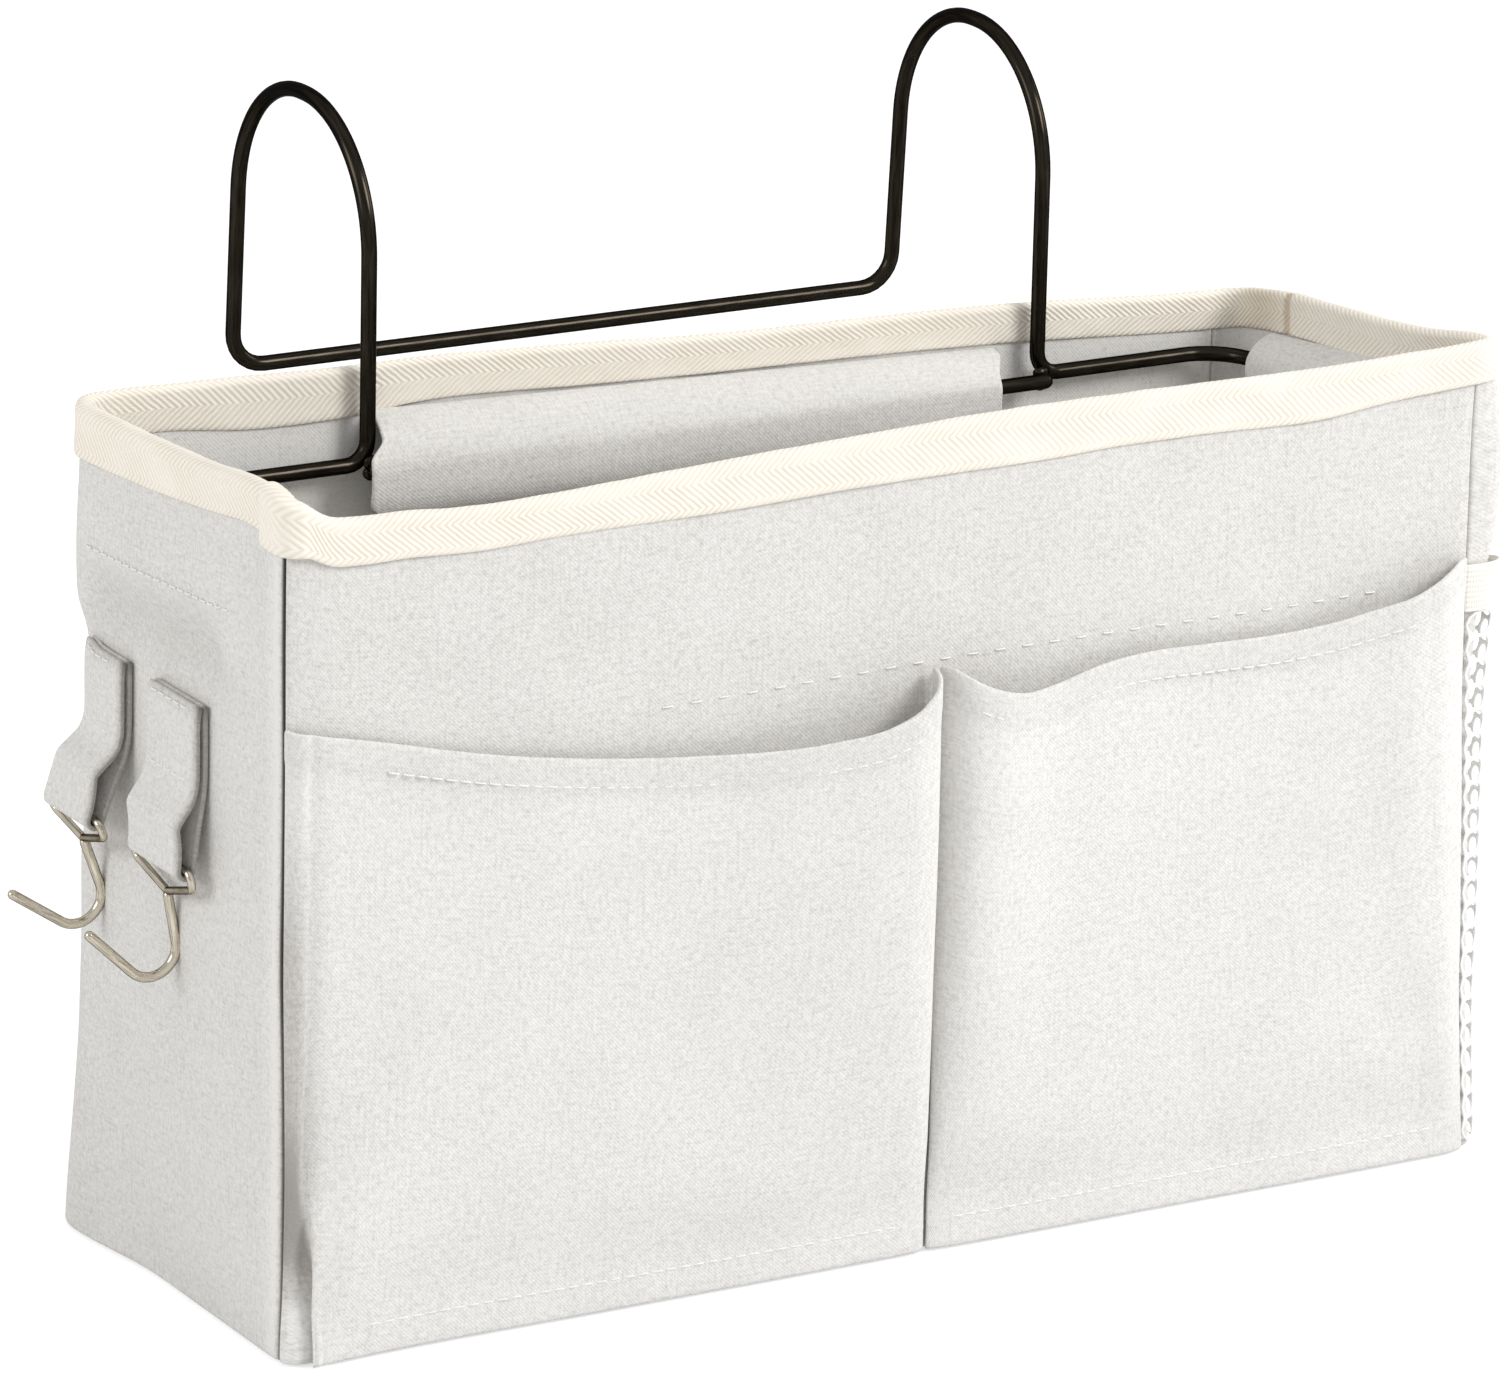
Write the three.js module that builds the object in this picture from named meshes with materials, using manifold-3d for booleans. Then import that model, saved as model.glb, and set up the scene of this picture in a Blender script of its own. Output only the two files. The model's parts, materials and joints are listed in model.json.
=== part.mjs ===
// Bedside caddy: a soft canvas box that hangs over a bed rail on a bent wire frame.
// Millimetres, +Z up. X runs along the front, Y to the back, and the origin is the middle of the base.
import * as THREE from "three";
import { mergeVertices } from "three/addons/utils/BufferGeometryUtils.js";
import Module from "manifold-3d";

const wasm = await Module();
wasm.setup();

// Bag
const bagLength = 340;
const bagDepth = 118;
const bagHeight = 215;
const wall = 2;
const joinGap = 0.3;
const frontCornerRadius = 5;
const backCornerRadius = 9;
const backLeftSag = 2.5;
const backRightSag = 12.5;
const boardThickness = 3;
const boardClearance = 1.2;

// Tape folded over the rim
const tapeThickness = 1;
const tapeDrop = 12;

// Front pockets, with one seam between them
const pocketCloth = 1.2;
const pocketSeamX = 6.5;
const pocketHemRise = 2;
const pocketOuterHeight = 157;
const pocketInnerHeight = 151;
const pocketMouthDip = 13;
const pocketMouthBulge = 12;
const pocketFootBulge = 4;
const pocketPleatPower = 6;
const mouthDipPower = 0.7;

// Net pocket on the right side, from the front seam round the corner
const meshThickness = 1.2;
const elasticThickness = 1.6;
const elasticHeight = 12;
const meshPocketHeight = 158;
const meshBulge = 10;
const meshBowPower = 0.8;

// Wire frame
const wireDiameter = 4;
const hookSpacing = 195;
const hookShift = 6.5;
const hookDepth = 69;
const hookRise = 59;
const backLegFlare = 5;
const backBarDrop = 21;
const ringDrop = 27.5;
const ringStandoff = 5.2;
const ringCornerRadius = 14;
const legBendRadius = 6;
const barBendRadius = 9;

// Sleeves that hold the wire against the walls
const sleeveCloth = 1.2;
const sleeveHeight = 24;
const frontSleeveHeight = 48;
const sleeveClearance = 0.8;
const sleeveSquareness = 4;
const bareCrossBar = 9;
const crossBarDrop = 0.8;
const crossBarOverrun = 2;

// Strap loops on the left side
const strapWidth = 27;
const strapCloth = 1.2;
const strapPlyGap = 0.2;
const tabHeight = 20;
const strapTopDrop = 60;
const loopDrop = 19.6;
const loopBulge = 3;
const strapPitch = 40.6;
const rearStrapInset = 23.5;
const frontLoopTilt = 9;
const rearLoopTilt = 22;

// Wire hooks in the strap loops
const shankDiameter = 2.5;
const armDiameter = 2;
const armSideClearance = 0.5;
const armWrapClearance = 0.4;
const armDrop = 4.2;
const junctionDrop = 9;
const armBendRadius = 2;
const shankDrop = 22.3;
const hookBendRadius = 7;
const hookBendAngle = 144;
const hookTipLength = 17;
const frontHookTilt = -10;
const rearHookTilt = -20;

// How finely curves are cut into facets
const wireSides = 12;
const frontCornerSteps = 4;
const backCornerSteps = 8;
const archSteps = 12;
const bendSteps = 6;
const sleeveSteps = 12;
const loopSteps = 10;
const pocketColumns = 22;
const pocketRows = 10;
const meshColumns = 16;
const meshRows = 6;

// Places that follow from the sizes
const wireRadius = wireDiameter / 2;
const wallTop = bagHeight - tapeThickness - joinGap;
const wallFoot = wall + joinGap;
const ringZ = bagHeight - ringDrop;
const ringHalfLength = bagLength / 2 - wall - ringStandoff;
const ringHalfDepth = bagDepth / 2 - wall - ringStandoff;
const leftLegX = hookShift - hookSpacing / 2;
const rightLegX = hookShift + hookSpacing / 2;
const sleeveTop = bagHeight - tapeDrop - joinGap - sleeveCloth / 2;
const armRadius = armDiameter / 2;
const shankRadius = shankDiameter / 2;
const crossBarStandoff = wireDiameter + joinGap;
const tabThickness = 2 * strapCloth + strapPlyGap;
const rearStrapY = bagDepth / 2 - rearStrapInset;
const frontStrapY = rearStrapY - strapPitch;
const strapTopZ = bagHeight - strapTopDrop;
const tabFootZ = strapTopZ - tabHeight;
const strapHingeX = -bagLength / 2 - joinGap - tabThickness / 2;
const strapHingeZ = tabFootZ - joinGap - tabThickness / 2;
const loopEndRadius = armRadius + armWrapClearance + strapCloth;
const crossBarX = tabThickness / 2 - loopEndRadius;
const up = new THREE.Vector3(0, 0, 1);
const radians = THREE.MathUtils.degToRad;

const canvas = new THREE.MeshStandardMaterial({ color: 0xdedddb, roughness: 0.95, metalness: 0 });
const pocketCanvas = new THREE.MeshStandardMaterial({ color: 0xe9e8e5, roughness: 0.95, metalness: 0 });
const tape = new THREE.MeshStandardMaterial({ color: 0xf1e6d3, roughness: 0.9, metalness: 0 });
const board = new THREE.MeshStandardMaterial({ color: 0xa9a39a, roughness: 0.9, metalness: 0 });
const net = new THREE.MeshStandardMaterial({ color: 0xf7f7f5, roughness: 0.8, metalness: 0 });
const elastic = new THREE.MeshStandardMaterial({ color: 0xfbf6ea, roughness: 0.85, metalness: 0 });
const blackWire = new THREE.MeshStandardMaterial({ color: 0x2a251f, roughness: 0.4, metalness: 0.6 });
const nickel = new THREE.MeshStandardMaterial({ color: 0xb9b09c, roughness: 0.25, metalness: 1 });

const caddy = new THREE.Group();

function addPiece(name, geometry, material, parent = caddy) {
  const mesh = new THREE.Mesh(geometry, material);
  mesh.name = name;
  parent.add(mesh);
  return mesh;
}

// Turns every face round when a geometry's faces point inwards.
function facingOut(geometry) {
  const solid = geometry.index ? geometry.toNonIndexed() : geometry;
  const p = solid.attributes.position;
  const [a, b, c] = [new THREE.Vector3(), new THREE.Vector3(), new THREE.Vector3()];
  let volume = 0;
  for (let i = 0; i < p.count; i += 3) {
    a.fromBufferAttribute(p, i);
    b.fromBufferAttribute(p, i + 1);
    c.fromBufferAttribute(p, i + 2);
    volume += a.dot(b.cross(c));
  }
  if (volume > 0) return solid;
  for (let i = 0; i < p.count; i += 3) {
    b.fromBufferAttribute(p, i + 1);
    c.fromBufferAttribute(p, i + 2);
    p.setXYZ(i + 1, c.x, c.y, c.z);
    p.setXYZ(i + 2, b.x, b.y, b.z);
  }
  return solid;
}

function geometryOf(points, faces) {
  const geometry = new THREE.BufferGeometry().setFromPoints(points);
  geometry.setIndex(faces.flat());
  return facingOut(geometry);
}

// A closed skin over equal rings of points, capped at both ends or joined into a loop.
function skin(rings, isLoop = false) {
  const sides = rings[0].length;
  const faces = [];
  const spans = isLoop ? rings.length : rings.length - 1;
  for (let i = 0; i < spans; i++) {
    const here = i * sides;
    const next = ((i + 1) % rings.length) * sides;
    for (let j = 0; j < sides; j++) {
      const k = (j + 1) % sides;
      faces.push([here + j, here + k, next + k], [here + j, next + k, next + j]);
    }
  }
  if (!isLoop) {
    const last = (rings.length - 1) * sides;
    for (let j = 1; j < sides - 1; j++) {
      faces.push([0, j + 1, j], [last, last + j, last + j + 1]);
    }
  }
  return geometryOf(rings.flat(), faces);
}

// A sheet with thickness: two grids of points, face and back, joined round their edge.
function sheet(columns, rows, face, back) {
  const points = [];
  for (const side of [face, back]) {
    for (let i = 0; i <= columns; i++) {
      for (let j = 0; j <= rows; j++) points.push(side(i / columns, j / rows));
    }
  }
  const across = rows + 1;
  const half = points.length / 2;
  const faces = [];
  for (let i = 0; i < columns; i++) {
    for (let j = 0; j < rows; j++) {
      const corner = i * across + j;
      const quad = [corner, corner + across, corner + across + 1, corner + 1];
      faces.push([quad[0], quad[1], quad[2]], [quad[0], quad[2], quad[3]]);
      faces.push([half + quad[0], half + quad[2], half + quad[1]], [half + quad[0], half + quad[3], half + quad[2]]);
    }
  }
  const rim = [];
  for (let i = 0; i < columns; i++) rim.push(i * across);
  for (let j = 0; j < rows; j++) rim.push(columns * across + j);
  for (let i = columns; i > 0; i--) rim.push(i * across + rows);
  for (let j = rows; j > 0; j--) rim.push(j);
  rim.forEach((corner, i) => {
    const next = rim[(i + 1) % rim.length];
    faces.push([corner, half + next, next], [corner, half + corner, half + next]);
  });
  return geometryOf(points, faces);
}

// The bag's outline seen from above, as points with their outward directions.
function bagOutline() {
  const halfLength = bagLength / 2;
  const halfDepth = bagDepth / 2;
  const corners = [
    [halfLength - frontCornerRadius, frontCornerRadius - halfDepth, frontCornerRadius, -90, frontCornerSteps],
    [halfLength - backCornerRadius, halfDepth - backCornerRadius, backCornerRadius, 0, backCornerSteps],
    [backCornerRadius - halfLength, halfDepth - backCornerRadius, backCornerRadius, 90, backCornerSteps],
    [frontCornerRadius - halfLength, frontCornerRadius - halfDepth, frontCornerRadius, 180, frontCornerSteps],
  ];
  return corners.flatMap(([x, y, radius, start, steps]) =>
    Array.from({ length: steps + 1 }, (_, i) => {
      const angle = radians(start + (90 * i) / steps);
      const out = new THREE.Vector3(Math.cos(angle), Math.sin(angle), 0);
      return { out, place: new THREE.Vector3(x, y, 0).addScaledVector(out, radius) };
    }),
  );
}

// The wire holds up the front of the rim, and the cloth hangs lower towards the back corners.
function sagged(geometry) {
  const p = geometry.attributes.position;
  for (let i = 0; i < p.count; i++) {
    const rightShare = THREE.MathUtils.clamp(p.getX(i) / bagLength + 1 / 2, 0, 1);
    const backShare = THREE.MathUtils.clamp(p.getY(i) / bagDepth + 1 / 2, 0, 1);
    const heightShare = Math.max(0, (p.getZ(i) - wallFoot) / (bagHeight - wallFoot));
    const sag = THREE.MathUtils.lerp(backLeftSag, backRightSag, rightShare);
    p.setZ(i, p.getZ(i) - sag * backShare * heightShare);
  }
  return geometry;
}

// A closed strip of wall following part of the outline, from its outer to its inner face.
function wallStrip(stations, bottom, top) {
  const rings = stations.map(({ place, out }) => {
    const inner = place.clone().addScaledVector(out, -wall);
    return [
      place.clone().setZ(bottom),
      place.clone().setZ(top),
      inner.clone().setZ(top),
      inner.clone().setZ(bottom),
    ];
  });
  return sagged(skin(rings));
}

// Bag walls: the front and the back are flat, and each side wraps its two corners.
function buildWalls() {
  const outline = bagOutline();
  const sideStations = frontCornerSteps + backCornerSteps + 2;
  const right = outline.slice(0, sideStations);
  const left = outline.slice(sideStations);
  const flatEnds = (radius, side) => {
    const reach = bagLength / 2 - radius - joinGap;
    return [side * reach, -side * reach].map((x) => ({
      out: new THREE.Vector3(0, side, 0),
      place: new THREE.Vector3(x, (side * bagDepth) / 2, 0),
    }));
  };
  const frontEnds = flatEnds(frontCornerRadius, -1);
  const backEnds = flatEnds(backCornerRadius, 1);
  addPiece("front_panel", wallStrip(frontEnds, wallFoot, wallTop), canvas);
  addPiece("right_panel", wallStrip(right, wallFoot, wallTop), canvas);
  addPiece("back_panel", wallStrip(backEnds, wallFoot, wallTop), canvas);
  addPiece("left_panel", wallStrip(left, wallFoot, wallTop), canvas);
}

// A flat plate that follows the outline, set in from it by a margin.
function plate(inset, bottom, thickness) {
  const outline = bagOutline().map(({ place, out }) => place.clone().addScaledVector(out, -inset));
  const shape = new THREE.Shape(outline.map((p) => new THREE.Vector2(p.x, p.y)));
  const geometry = new THREE.ExtrudeGeometry(shape, { depth: thickness, bevelEnabled: false });
  return geometry.translate(0, 0, bottom);
}

function buildBase() {
  addPiece("bottom_panel", plate(0, 0, wall), canvas);
  addPiece("base_board", plate(wall + boardClearance, wallFoot, boardThickness), board);
}

// The tape is a channel turned over the wall's top edge, all the way round the rim.
function buildBinding() {
  const outer = joinGap + tapeThickness;
  const inner = -(wall + joinGap + tapeThickness);
  const foot = bagHeight - tapeDrop;
  const crown = bagHeight - tapeThickness;
  const profile = [
    [outer, foot],
    [outer, crown],
    [joinGap, bagHeight],
    [-wall - joinGap, bagHeight],
    [inner, crown],
    [inner, foot],
    [-wall - joinGap, foot],
    [-wall - joinGap, crown],
    [joinGap, crown],
    [joinGap, foot],
  ];
  const rings = bagOutline().map(({ place, out }) =>
    profile.map(([offset, z]) => place.clone().addScaledVector(out, offset).setZ(z)),
  );
  addPiece("rim_binding", sagged(skin(rings, true)), tape);
}

// A front pocket: pleated out at its side seams, full at its dipping mouth.
function pocket(seamX, edgeX, seamHeight, edgeHeight) {
  const foot = wallFoot + pocketHemRise;
  const backY = -bagDepth / 2 - joinGap;
  const point = (u, v, thickness) => {
    const dip = pocketMouthDip * Math.sin(Math.PI * u) ** mouthDipPower;
    const mouth = THREE.MathUtils.lerp(seamHeight, edgeHeight, u) - dip;
    const sideShare = (1 - Math.abs(2 * u - 1) ** pocketPleatPower) ** (1 / 2);
    const riseShare = Math.sin((Math.PI / 2) * v);
    const bulge = v > 0 ? THREE.MathUtils.lerp(pocketFootBulge, pocketMouthBulge, riseShare) : 0;
    return new THREE.Vector3(
      THREE.MathUtils.lerp(seamX, edgeX, u),
      backY - thickness - sideShare * bulge,
      THREE.MathUtils.lerp(foot, mouth, v),
    );
  };
  return sheet(
    pocketColumns,
    pocketRows,
    (u, v) => point(u, v, pocketCloth),
    (u, v) => point(u, v, 0),
  );
}

function buildPockets() {
  const edge = bagLength / 2 - frontCornerRadius;
  const left = pocket(pocketSeamX - joinGap / 2, -edge, pocketInnerHeight, pocketOuterHeight);
  const right = pocket(pocketSeamX + joinGap / 2, edge, pocketInnerHeight, pocketOuterHeight);
  addPiece("front_pocket_left", left, pocketCanvas);
  addPiece("front_pocket_right", right, pocketCanvas);
}

// The net pocket and its elastic share one bowed surface, round the front corner and over the right side.
function bowedBand(low, high, thickness) {
  const arc = (Math.PI / 2) * frontCornerRadius;
  const run = bagDepth - frontCornerRadius - backCornerRadius;
  const sideColumns = meshColumns - frontCornerSteps;
  const centre = new THREE.Vector3(bagLength / 2 - frontCornerRadius, frontCornerRadius - bagDepth / 2, 0);
  const point = (u, v, depth) => {
    const column = u * meshColumns;
    const turn = Math.min(column / frontCornerSteps, 1);
    const alongSide = (run * Math.max(column - frontCornerSteps, 0)) / sideColumns;
    const angle = THREE.MathUtils.lerp(joinGap, arc, turn) / frontCornerRadius;
    const share = (arc * turn + alongSide) / (arc + run);
    const z = THREE.MathUtils.lerp(low, high, v);
    const fullness = Math.sin(Math.PI * share) ** meshBowPower * Math.sin((Math.PI / 2) * (z / meshPocketHeight));
    const out = new THREE.Vector3(Math.sin(angle), -Math.cos(angle), 0);
    const place = centre.clone().addScaledVector(out, frontCornerRadius + joinGap + depth + meshBulge * fullness);
    return place.setY(place.y + alongSide).setZ(z);
  };
  const face = (u, v) => point(u, v, thickness);
  return sagged(sheet(meshColumns, meshRows, face, (u, v) => point(u, v, 0)));
}

function buildMeshPocket() {
  const elasticFoot = meshPocketHeight - elasticHeight;
  addPiece("mesh_pocket", bowedBand(wallFoot, elasticFoot - joinGap, meshThickness), net);
  const band = bowedBand(elasticFoot, meshPocketHeight, elasticThickness);
  addPiece("mesh_pocket_elastic", band, elastic);
}

// The section of a sleeve: cloth sewn flat at its two feet and lifted off the wall between them.
function sleeveSection(height, standoff) {
  const middle = height / 2;
  const lift = standoff + wireRadius + sleeveClearance;
  const arch = (reach, half) =>
    Array.from({ length: sleeveSteps + 1 }, (_, i) => {
      const along = -Math.cos((Math.PI * i) / sleeveSteps);
      const rise = (1 - Math.abs(along) ** sleeveSquareness) ** (1 / sleeveSquareness);
      return new THREE.Vector2(joinGap + (reach - joinGap) * rise, middle + half * along);
    });
  const outer = arch(lift + sleeveCloth, middle);
  const inner = arch(lift, middle - sleeveCloth).reverse();
  return new THREE.Shape([...outer, ...inner]);
}

// A sleeve lies on the wall face at a place, lifts towards inward and runs a length to both sides.
function sleeve(place, inward, length, height, standoff = ringStandoff) {
  const run = new THREE.Vector3().crossVectors(inward, up);
  const section = sleeveSection(height, standoff);
  const geometry = new THREE.ExtrudeGeometry(section, { depth: length, bevelEnabled: false });
  geometry.translate(0, sleeveTop - height, -length / 2);
  geometry.applyMatrix4(new THREE.Matrix4().makeBasis(inward, up, run).setPosition(place));
  return sagged(facingOut(geometry));
}

function buildSleeves() {
  const sideFace = bagLength / 2 - wall;
  const frontFace = bagDepth / 2 - wall;
  const sideRun = 2 * (ringHalfDepth - ringCornerRadius);
  const frontRun = 2 * (ringHalfLength - ringCornerRadius);
  const backLeft = leftLegX + wireRadius + joinGap;
  const backRight = rightLegX - wireRadius - bareCrossBar;
  const backPlace = new THREE.Vector3((backLeft + backRight) / 2, frontFace, 0);
  const inward = { left: new THREE.Vector3(1, 0, 0), right: new THREE.Vector3(-1, 0, 0) };
  const frontInward = new THREE.Vector3(0, 1, 0);
  const left = sleeve(new THREE.Vector3(-sideFace, 0, 0), inward.left, sideRun, sleeveHeight);
  const right = sleeve(new THREE.Vector3(sideFace, 0, 0), inward.right, sideRun, sleeveHeight);
  const front = sleeve(new THREE.Vector3(0, -frontFace, 0), frontInward, frontRun, frontSleeveHeight);
  const barStandoff = ringStandoff + crossBarStandoff;
  const back = sleeve(backPlace, new THREE.Vector3(0, -1, 0), backRight - backLeft, sleeveHeight, barStandoff);
  addPiece("left_sleeve", left, canvas);
  addPiece("right_sleeve", right, canvas);
  addPiece("front_sleeve", front, canvas);
  addPiece("back_sleeve", back, canvas);
}

// A wire's centre line through corners, each rounded by its own bend radius.
function bentLine(corners, isLoop) {
  const points = [];
  corners.forEach(({ place, bend, steps }, i) => {
    const isEnd = !isLoop && (i === 0 || i === corners.length - 1);
    if (isEnd) {
      points.push(place.clone());
      return;
    }
    const before = corners.at(i - 1).place.clone().sub(place).normalize();
    const after = corners[(i + 1) % corners.length].place.clone().sub(place).normalize();
    const half = before.angleTo(after) / 2;
    const middle = before.clone().add(after).normalize();
    const centre = place.clone().addScaledVector(middle, bend / Math.sin(half));
    const turn = Math.PI - 2 * half;
    const side = before.clone().sub(after).normalize();
    for (let j = 0; j <= steps; j++) {
      const angle = turn * (j / steps - 1 / 2);
      const spoke = middle.clone().multiplyScalar(-Math.cos(angle)).addScaledVector(side, -Math.sin(angle));
      points.push(centre.clone().addScaledVector(spoke, bend));
    }
  });
  return points;
}

// Rings of wire section along a line, carried from point to point without twist.
function wireRings(points, radius, isLoop) {
  const count = points.length;
  const directions = points.map((p, i) => {
    const ahead = isLoop ? points[(i + 1) % count] : points[Math.min(i + 1, count - 1)];
    const behind = isLoop ? points.at(i - 1) : points[Math.max(i - 1, 0)];
    const into = p.clone().sub(behind).normalize();
    const away = ahead.clone().sub(p).normalize();
    return into.add(away).normalize();
  });
  const lateral = Math.abs(directions[0].z) < 1 / 2 ? up.clone() : new THREE.Vector3(1, 0, 0);
  const carried = [];
  directions.forEach((direction, i) => {
    if (i > 0) {
      lateral.applyQuaternion(new THREE.Quaternion().setFromUnitVectors(directions[i - 1], direction));
    }
    lateral.addScaledVector(direction, -lateral.dot(direction)).normalize();
    carried.push(lateral.clone());
  });
  let twist = 0;
  if (isLoop) {
    const back = new THREE.Quaternion().setFromUnitVectors(directions.at(-1), directions[0]);
    const returned = carried.at(-1).clone().applyQuaternion(back);
    const turned = new THREE.Vector3().crossVectors(returned, carried[0]).dot(directions[0]);
    twist = Math.atan2(turned, returned.dot(carried[0]));
  }
  return points.map((p, i) => {
    const first = carried[i].clone().applyAxisAngle(directions[i], (twist * i) / count);
    const second = new THREE.Vector3().crossVectors(directions[i], first);
    return Array.from({ length: wireSides }, (_, j) => {
      const angle = (2 * Math.PI * j) / wireSides;
      const spoke = first.clone().multiplyScalar(Math.cos(angle)).addScaledVector(second, Math.sin(angle));
      return p.clone().addScaledVector(spoke, radius);
    });
  });
}

const corner = (x, y, z, bend = 0, steps = bendSteps) => ({ place: new THREE.Vector3(x, y, z), bend, steps });

// One closed wire makes both hooks, the bar behind them and the ring in the bag's sleeves.
function buildHanger() {
  const legY = ringHalfDepth;
  const archBackY = legY + hookDepth;
  const barY = archBackY + backLegFlare;
  const barZ = bagHeight - backBarDrop;
  const topZ = bagHeight + hookRise;
  const archRadius = hookDepth / 2;
  const hook = (x) => [
    corner(x, legY, ringZ, legBendRadius),
    corner(x, legY, topZ, archRadius, archSteps),
    corner(x, archBackY, topZ, archRadius, archSteps),
    corner(x, barY, barZ, barBendRadius),
  ];
  const ring = [
    corner(ringHalfLength, legY, ringZ, ringCornerRadius),
    corner(ringHalfLength, -ringHalfDepth, ringZ, ringCornerRadius),
    corner(-ringHalfLength, -ringHalfDepth, ringZ, ringCornerRadius),
    corner(-ringHalfLength, legY, ringZ, ringCornerRadius),
  ];
  const line = bentLine([...hook(leftLegX), ...hook(rightLegX).reverse(), ...ring], true);
  addPiece("hanger_frame", skin(wireRings(line, wireRadius, true), true), blackWire);

  // The cross bar lies against the front of both legs, where it is welded.
  const barEnd = (x) => new THREE.Vector3(x, legY - crossBarStandoff, ringZ - crossBarDrop);
  const ends = [barEnd(leftLegX - crossBarOverrun), barEnd(rightLegX + crossBarOverrun)];
  addPiece("cross_bar", skin(wireRings(ends, wireRadius, false)), blackWire);
}

// A plate with rounded vertical edges, standing on the left wall.
function buildStrapTab(name, y) {
  const shape = new THREE.Shape();
  const half = tabThickness / 2;
  const flat = strapWidth / 2 - half;
  shape.absarc(0, flat, half, 0, Math.PI, false);
  shape.absarc(0, -flat, half, Math.PI, 2 * Math.PI, false);
  const settings = { depth: tabHeight, bevelEnabled: false, curveSegments: bendSteps };
  const geometry = new THREE.ExtrudeGeometry(shape, settings);
  const tab = addPiece(name, geometry, canvas);
  tab.position.set(strapHingeX, y, tabFootZ);
}

// One side of the strap loop seen along its hinge, from the hinge down to the wire it holds.
function loopSide(inset) {
  return Array.from({ length: loopSteps + 1 }, (_, i) => {
    const share = i / loopSteps;
    const lean = THREE.MathUtils.lerp(-tabThickness / 2, crossBarX - loopEndRadius, share);
    return new THREE.Vector2(lean - loopBulge * Math.sin(Math.PI * share) + inset, -loopDrop * share);
  });
}

function halfTurn(x, y, radius, start) {
  return Array.from({ length: bendSteps + 1 }, (_, i) => {
    const angle = start + (Math.PI * i) / bendSteps;
    return new THREE.Vector2(x + radius * Math.cos(angle), y + radius * Math.sin(angle));
  });
}

// The free end of a strap: cloth folded round the hook's cross wire.
function strapLoopGeometry() {
  const shape = new THREE.Shape([
    ...loopSide(0),
    ...halfTurn(crossBarX, -loopDrop, loopEndRadius, Math.PI).slice(1),
    ...halfTurn(0, 0, tabThickness / 2, 0).slice(0, -1),
  ]);
  const backInner = tabThickness / 2 - strapCloth;
  const inside = loopSide(strapCloth).slice(1);
  shape.holes.push(
    new THREE.Path([
      ...inside,
      ...halfTurn(crossBarX, -loopDrop, loopEndRadius - strapCloth, Math.PI).slice(1),
      new THREE.Vector2(backInner, inside[0].y),
    ]),
  );
  const geometry = new THREE.ExtrudeGeometry(shape, { depth: strapWidth, bevelEnabled: false });
  geometry.translate(0, 0, -strapWidth / 2);
  return facingOut(geometry.rotateX(Math.PI / 2));
}

function solidOf(geometry) {
  const bare = new THREE.BufferGeometry().setAttribute("position", geometry.getAttribute("position"));
  const merged = mergeVertices(bare);
  return new wasm.Manifold(
    new wasm.Mesh({
      numProp: 3,
      vertProperties: merged.attributes.position.array,
      triVerts: new Uint32Array(merged.index.array),
    }),
  );
}

function geometryOfSolid(solid) {
  const mesh = solid.getMesh();
  const geometry = new THREE.BufferGeometry();
  geometry.setAttribute("position", new THREE.BufferAttribute(mesh.vertProperties, 3));
  return geometry.setIndex(new THREE.BufferAttribute(mesh.triVerts, 1));
}

// A wire hook: a closed frame that the strap holds, and a shank bent up into a J.
function hookGeometry() {
  const armY = strapWidth / 2 + armSideClearance + armRadius;
  const frame = [
    corner(0, armY, 0, armBendRadius),
    corner(0, armY, -armDrop, armBendRadius),
    corner(0, 0, -junctionDrop, armBendRadius),
    corner(0, -armY, -armDrop, armBendRadius),
    corner(0, -armY, 0, armBendRadius),
  ];
  const frameWire = skin(wireRings(bentLine(frame, true), armRadius, true), true);
  const shank = [new THREE.Vector3(0, 0, -junctionDrop)];
  const turn = radians(hookBendAngle);
  const turnSteps = 2 * archSteps;
  for (let i = 0; i <= turnSteps; i++) {
    const angle = (turn * i) / turnSteps;
    const x = hookBendRadius * (Math.cos(angle) - 1);
    shank.push(new THREE.Vector3(x, 0, -shankDrop - hookBendRadius * Math.sin(angle)));
  }
  const tipDirection = new THREE.Vector3(-Math.sin(turn), 0, -Math.cos(turn));
  shank.push(shank.at(-1).clone().addScaledVector(tipDirection, hookTipLength));
  const shankWire = skin(wireRings(shank, shankRadius, false));
  return geometryOfSolid(solidOf(frameWire).add(solidOf(shankWire)));
}

// Each strap hangs from its tab, leans out by its own tilt and carries one hook.
function buildStrap(prefix, y, loopTilt, hookTilt) {
  buildStrapTab(prefix + "_strap_tab", y);
  const strap = new THREE.Group();
  strap.position.set(strapHingeX, y, strapHingeZ);
  strap.rotation.y = radians(loopTilt);
  caddy.add(strap);
  addPiece(prefix + "_strap_loop", strapLoopGeometry(), canvas, strap);
  const hook = addPiece(prefix + "_hook", hookGeometry(), nickel, strap);
  hook.position.set(crossBarX, 0, -loopDrop);
  hook.rotation.y = radians(hookTilt - loopTilt);
}

buildBase();
buildWalls();
buildBinding();
buildPockets();
buildMeshPocket();
buildSleeves();
buildHanger();
buildStrap("front", frontStrapY, frontLoopTilt, frontHookTilt);
buildStrap("rear", rearStrapY, rearLoopTilt, rearHookTilt);

export default caddy;
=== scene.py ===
import json
import math

import bpy
import numpy as np
from mathutils import Matrix, Vector, noise


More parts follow.
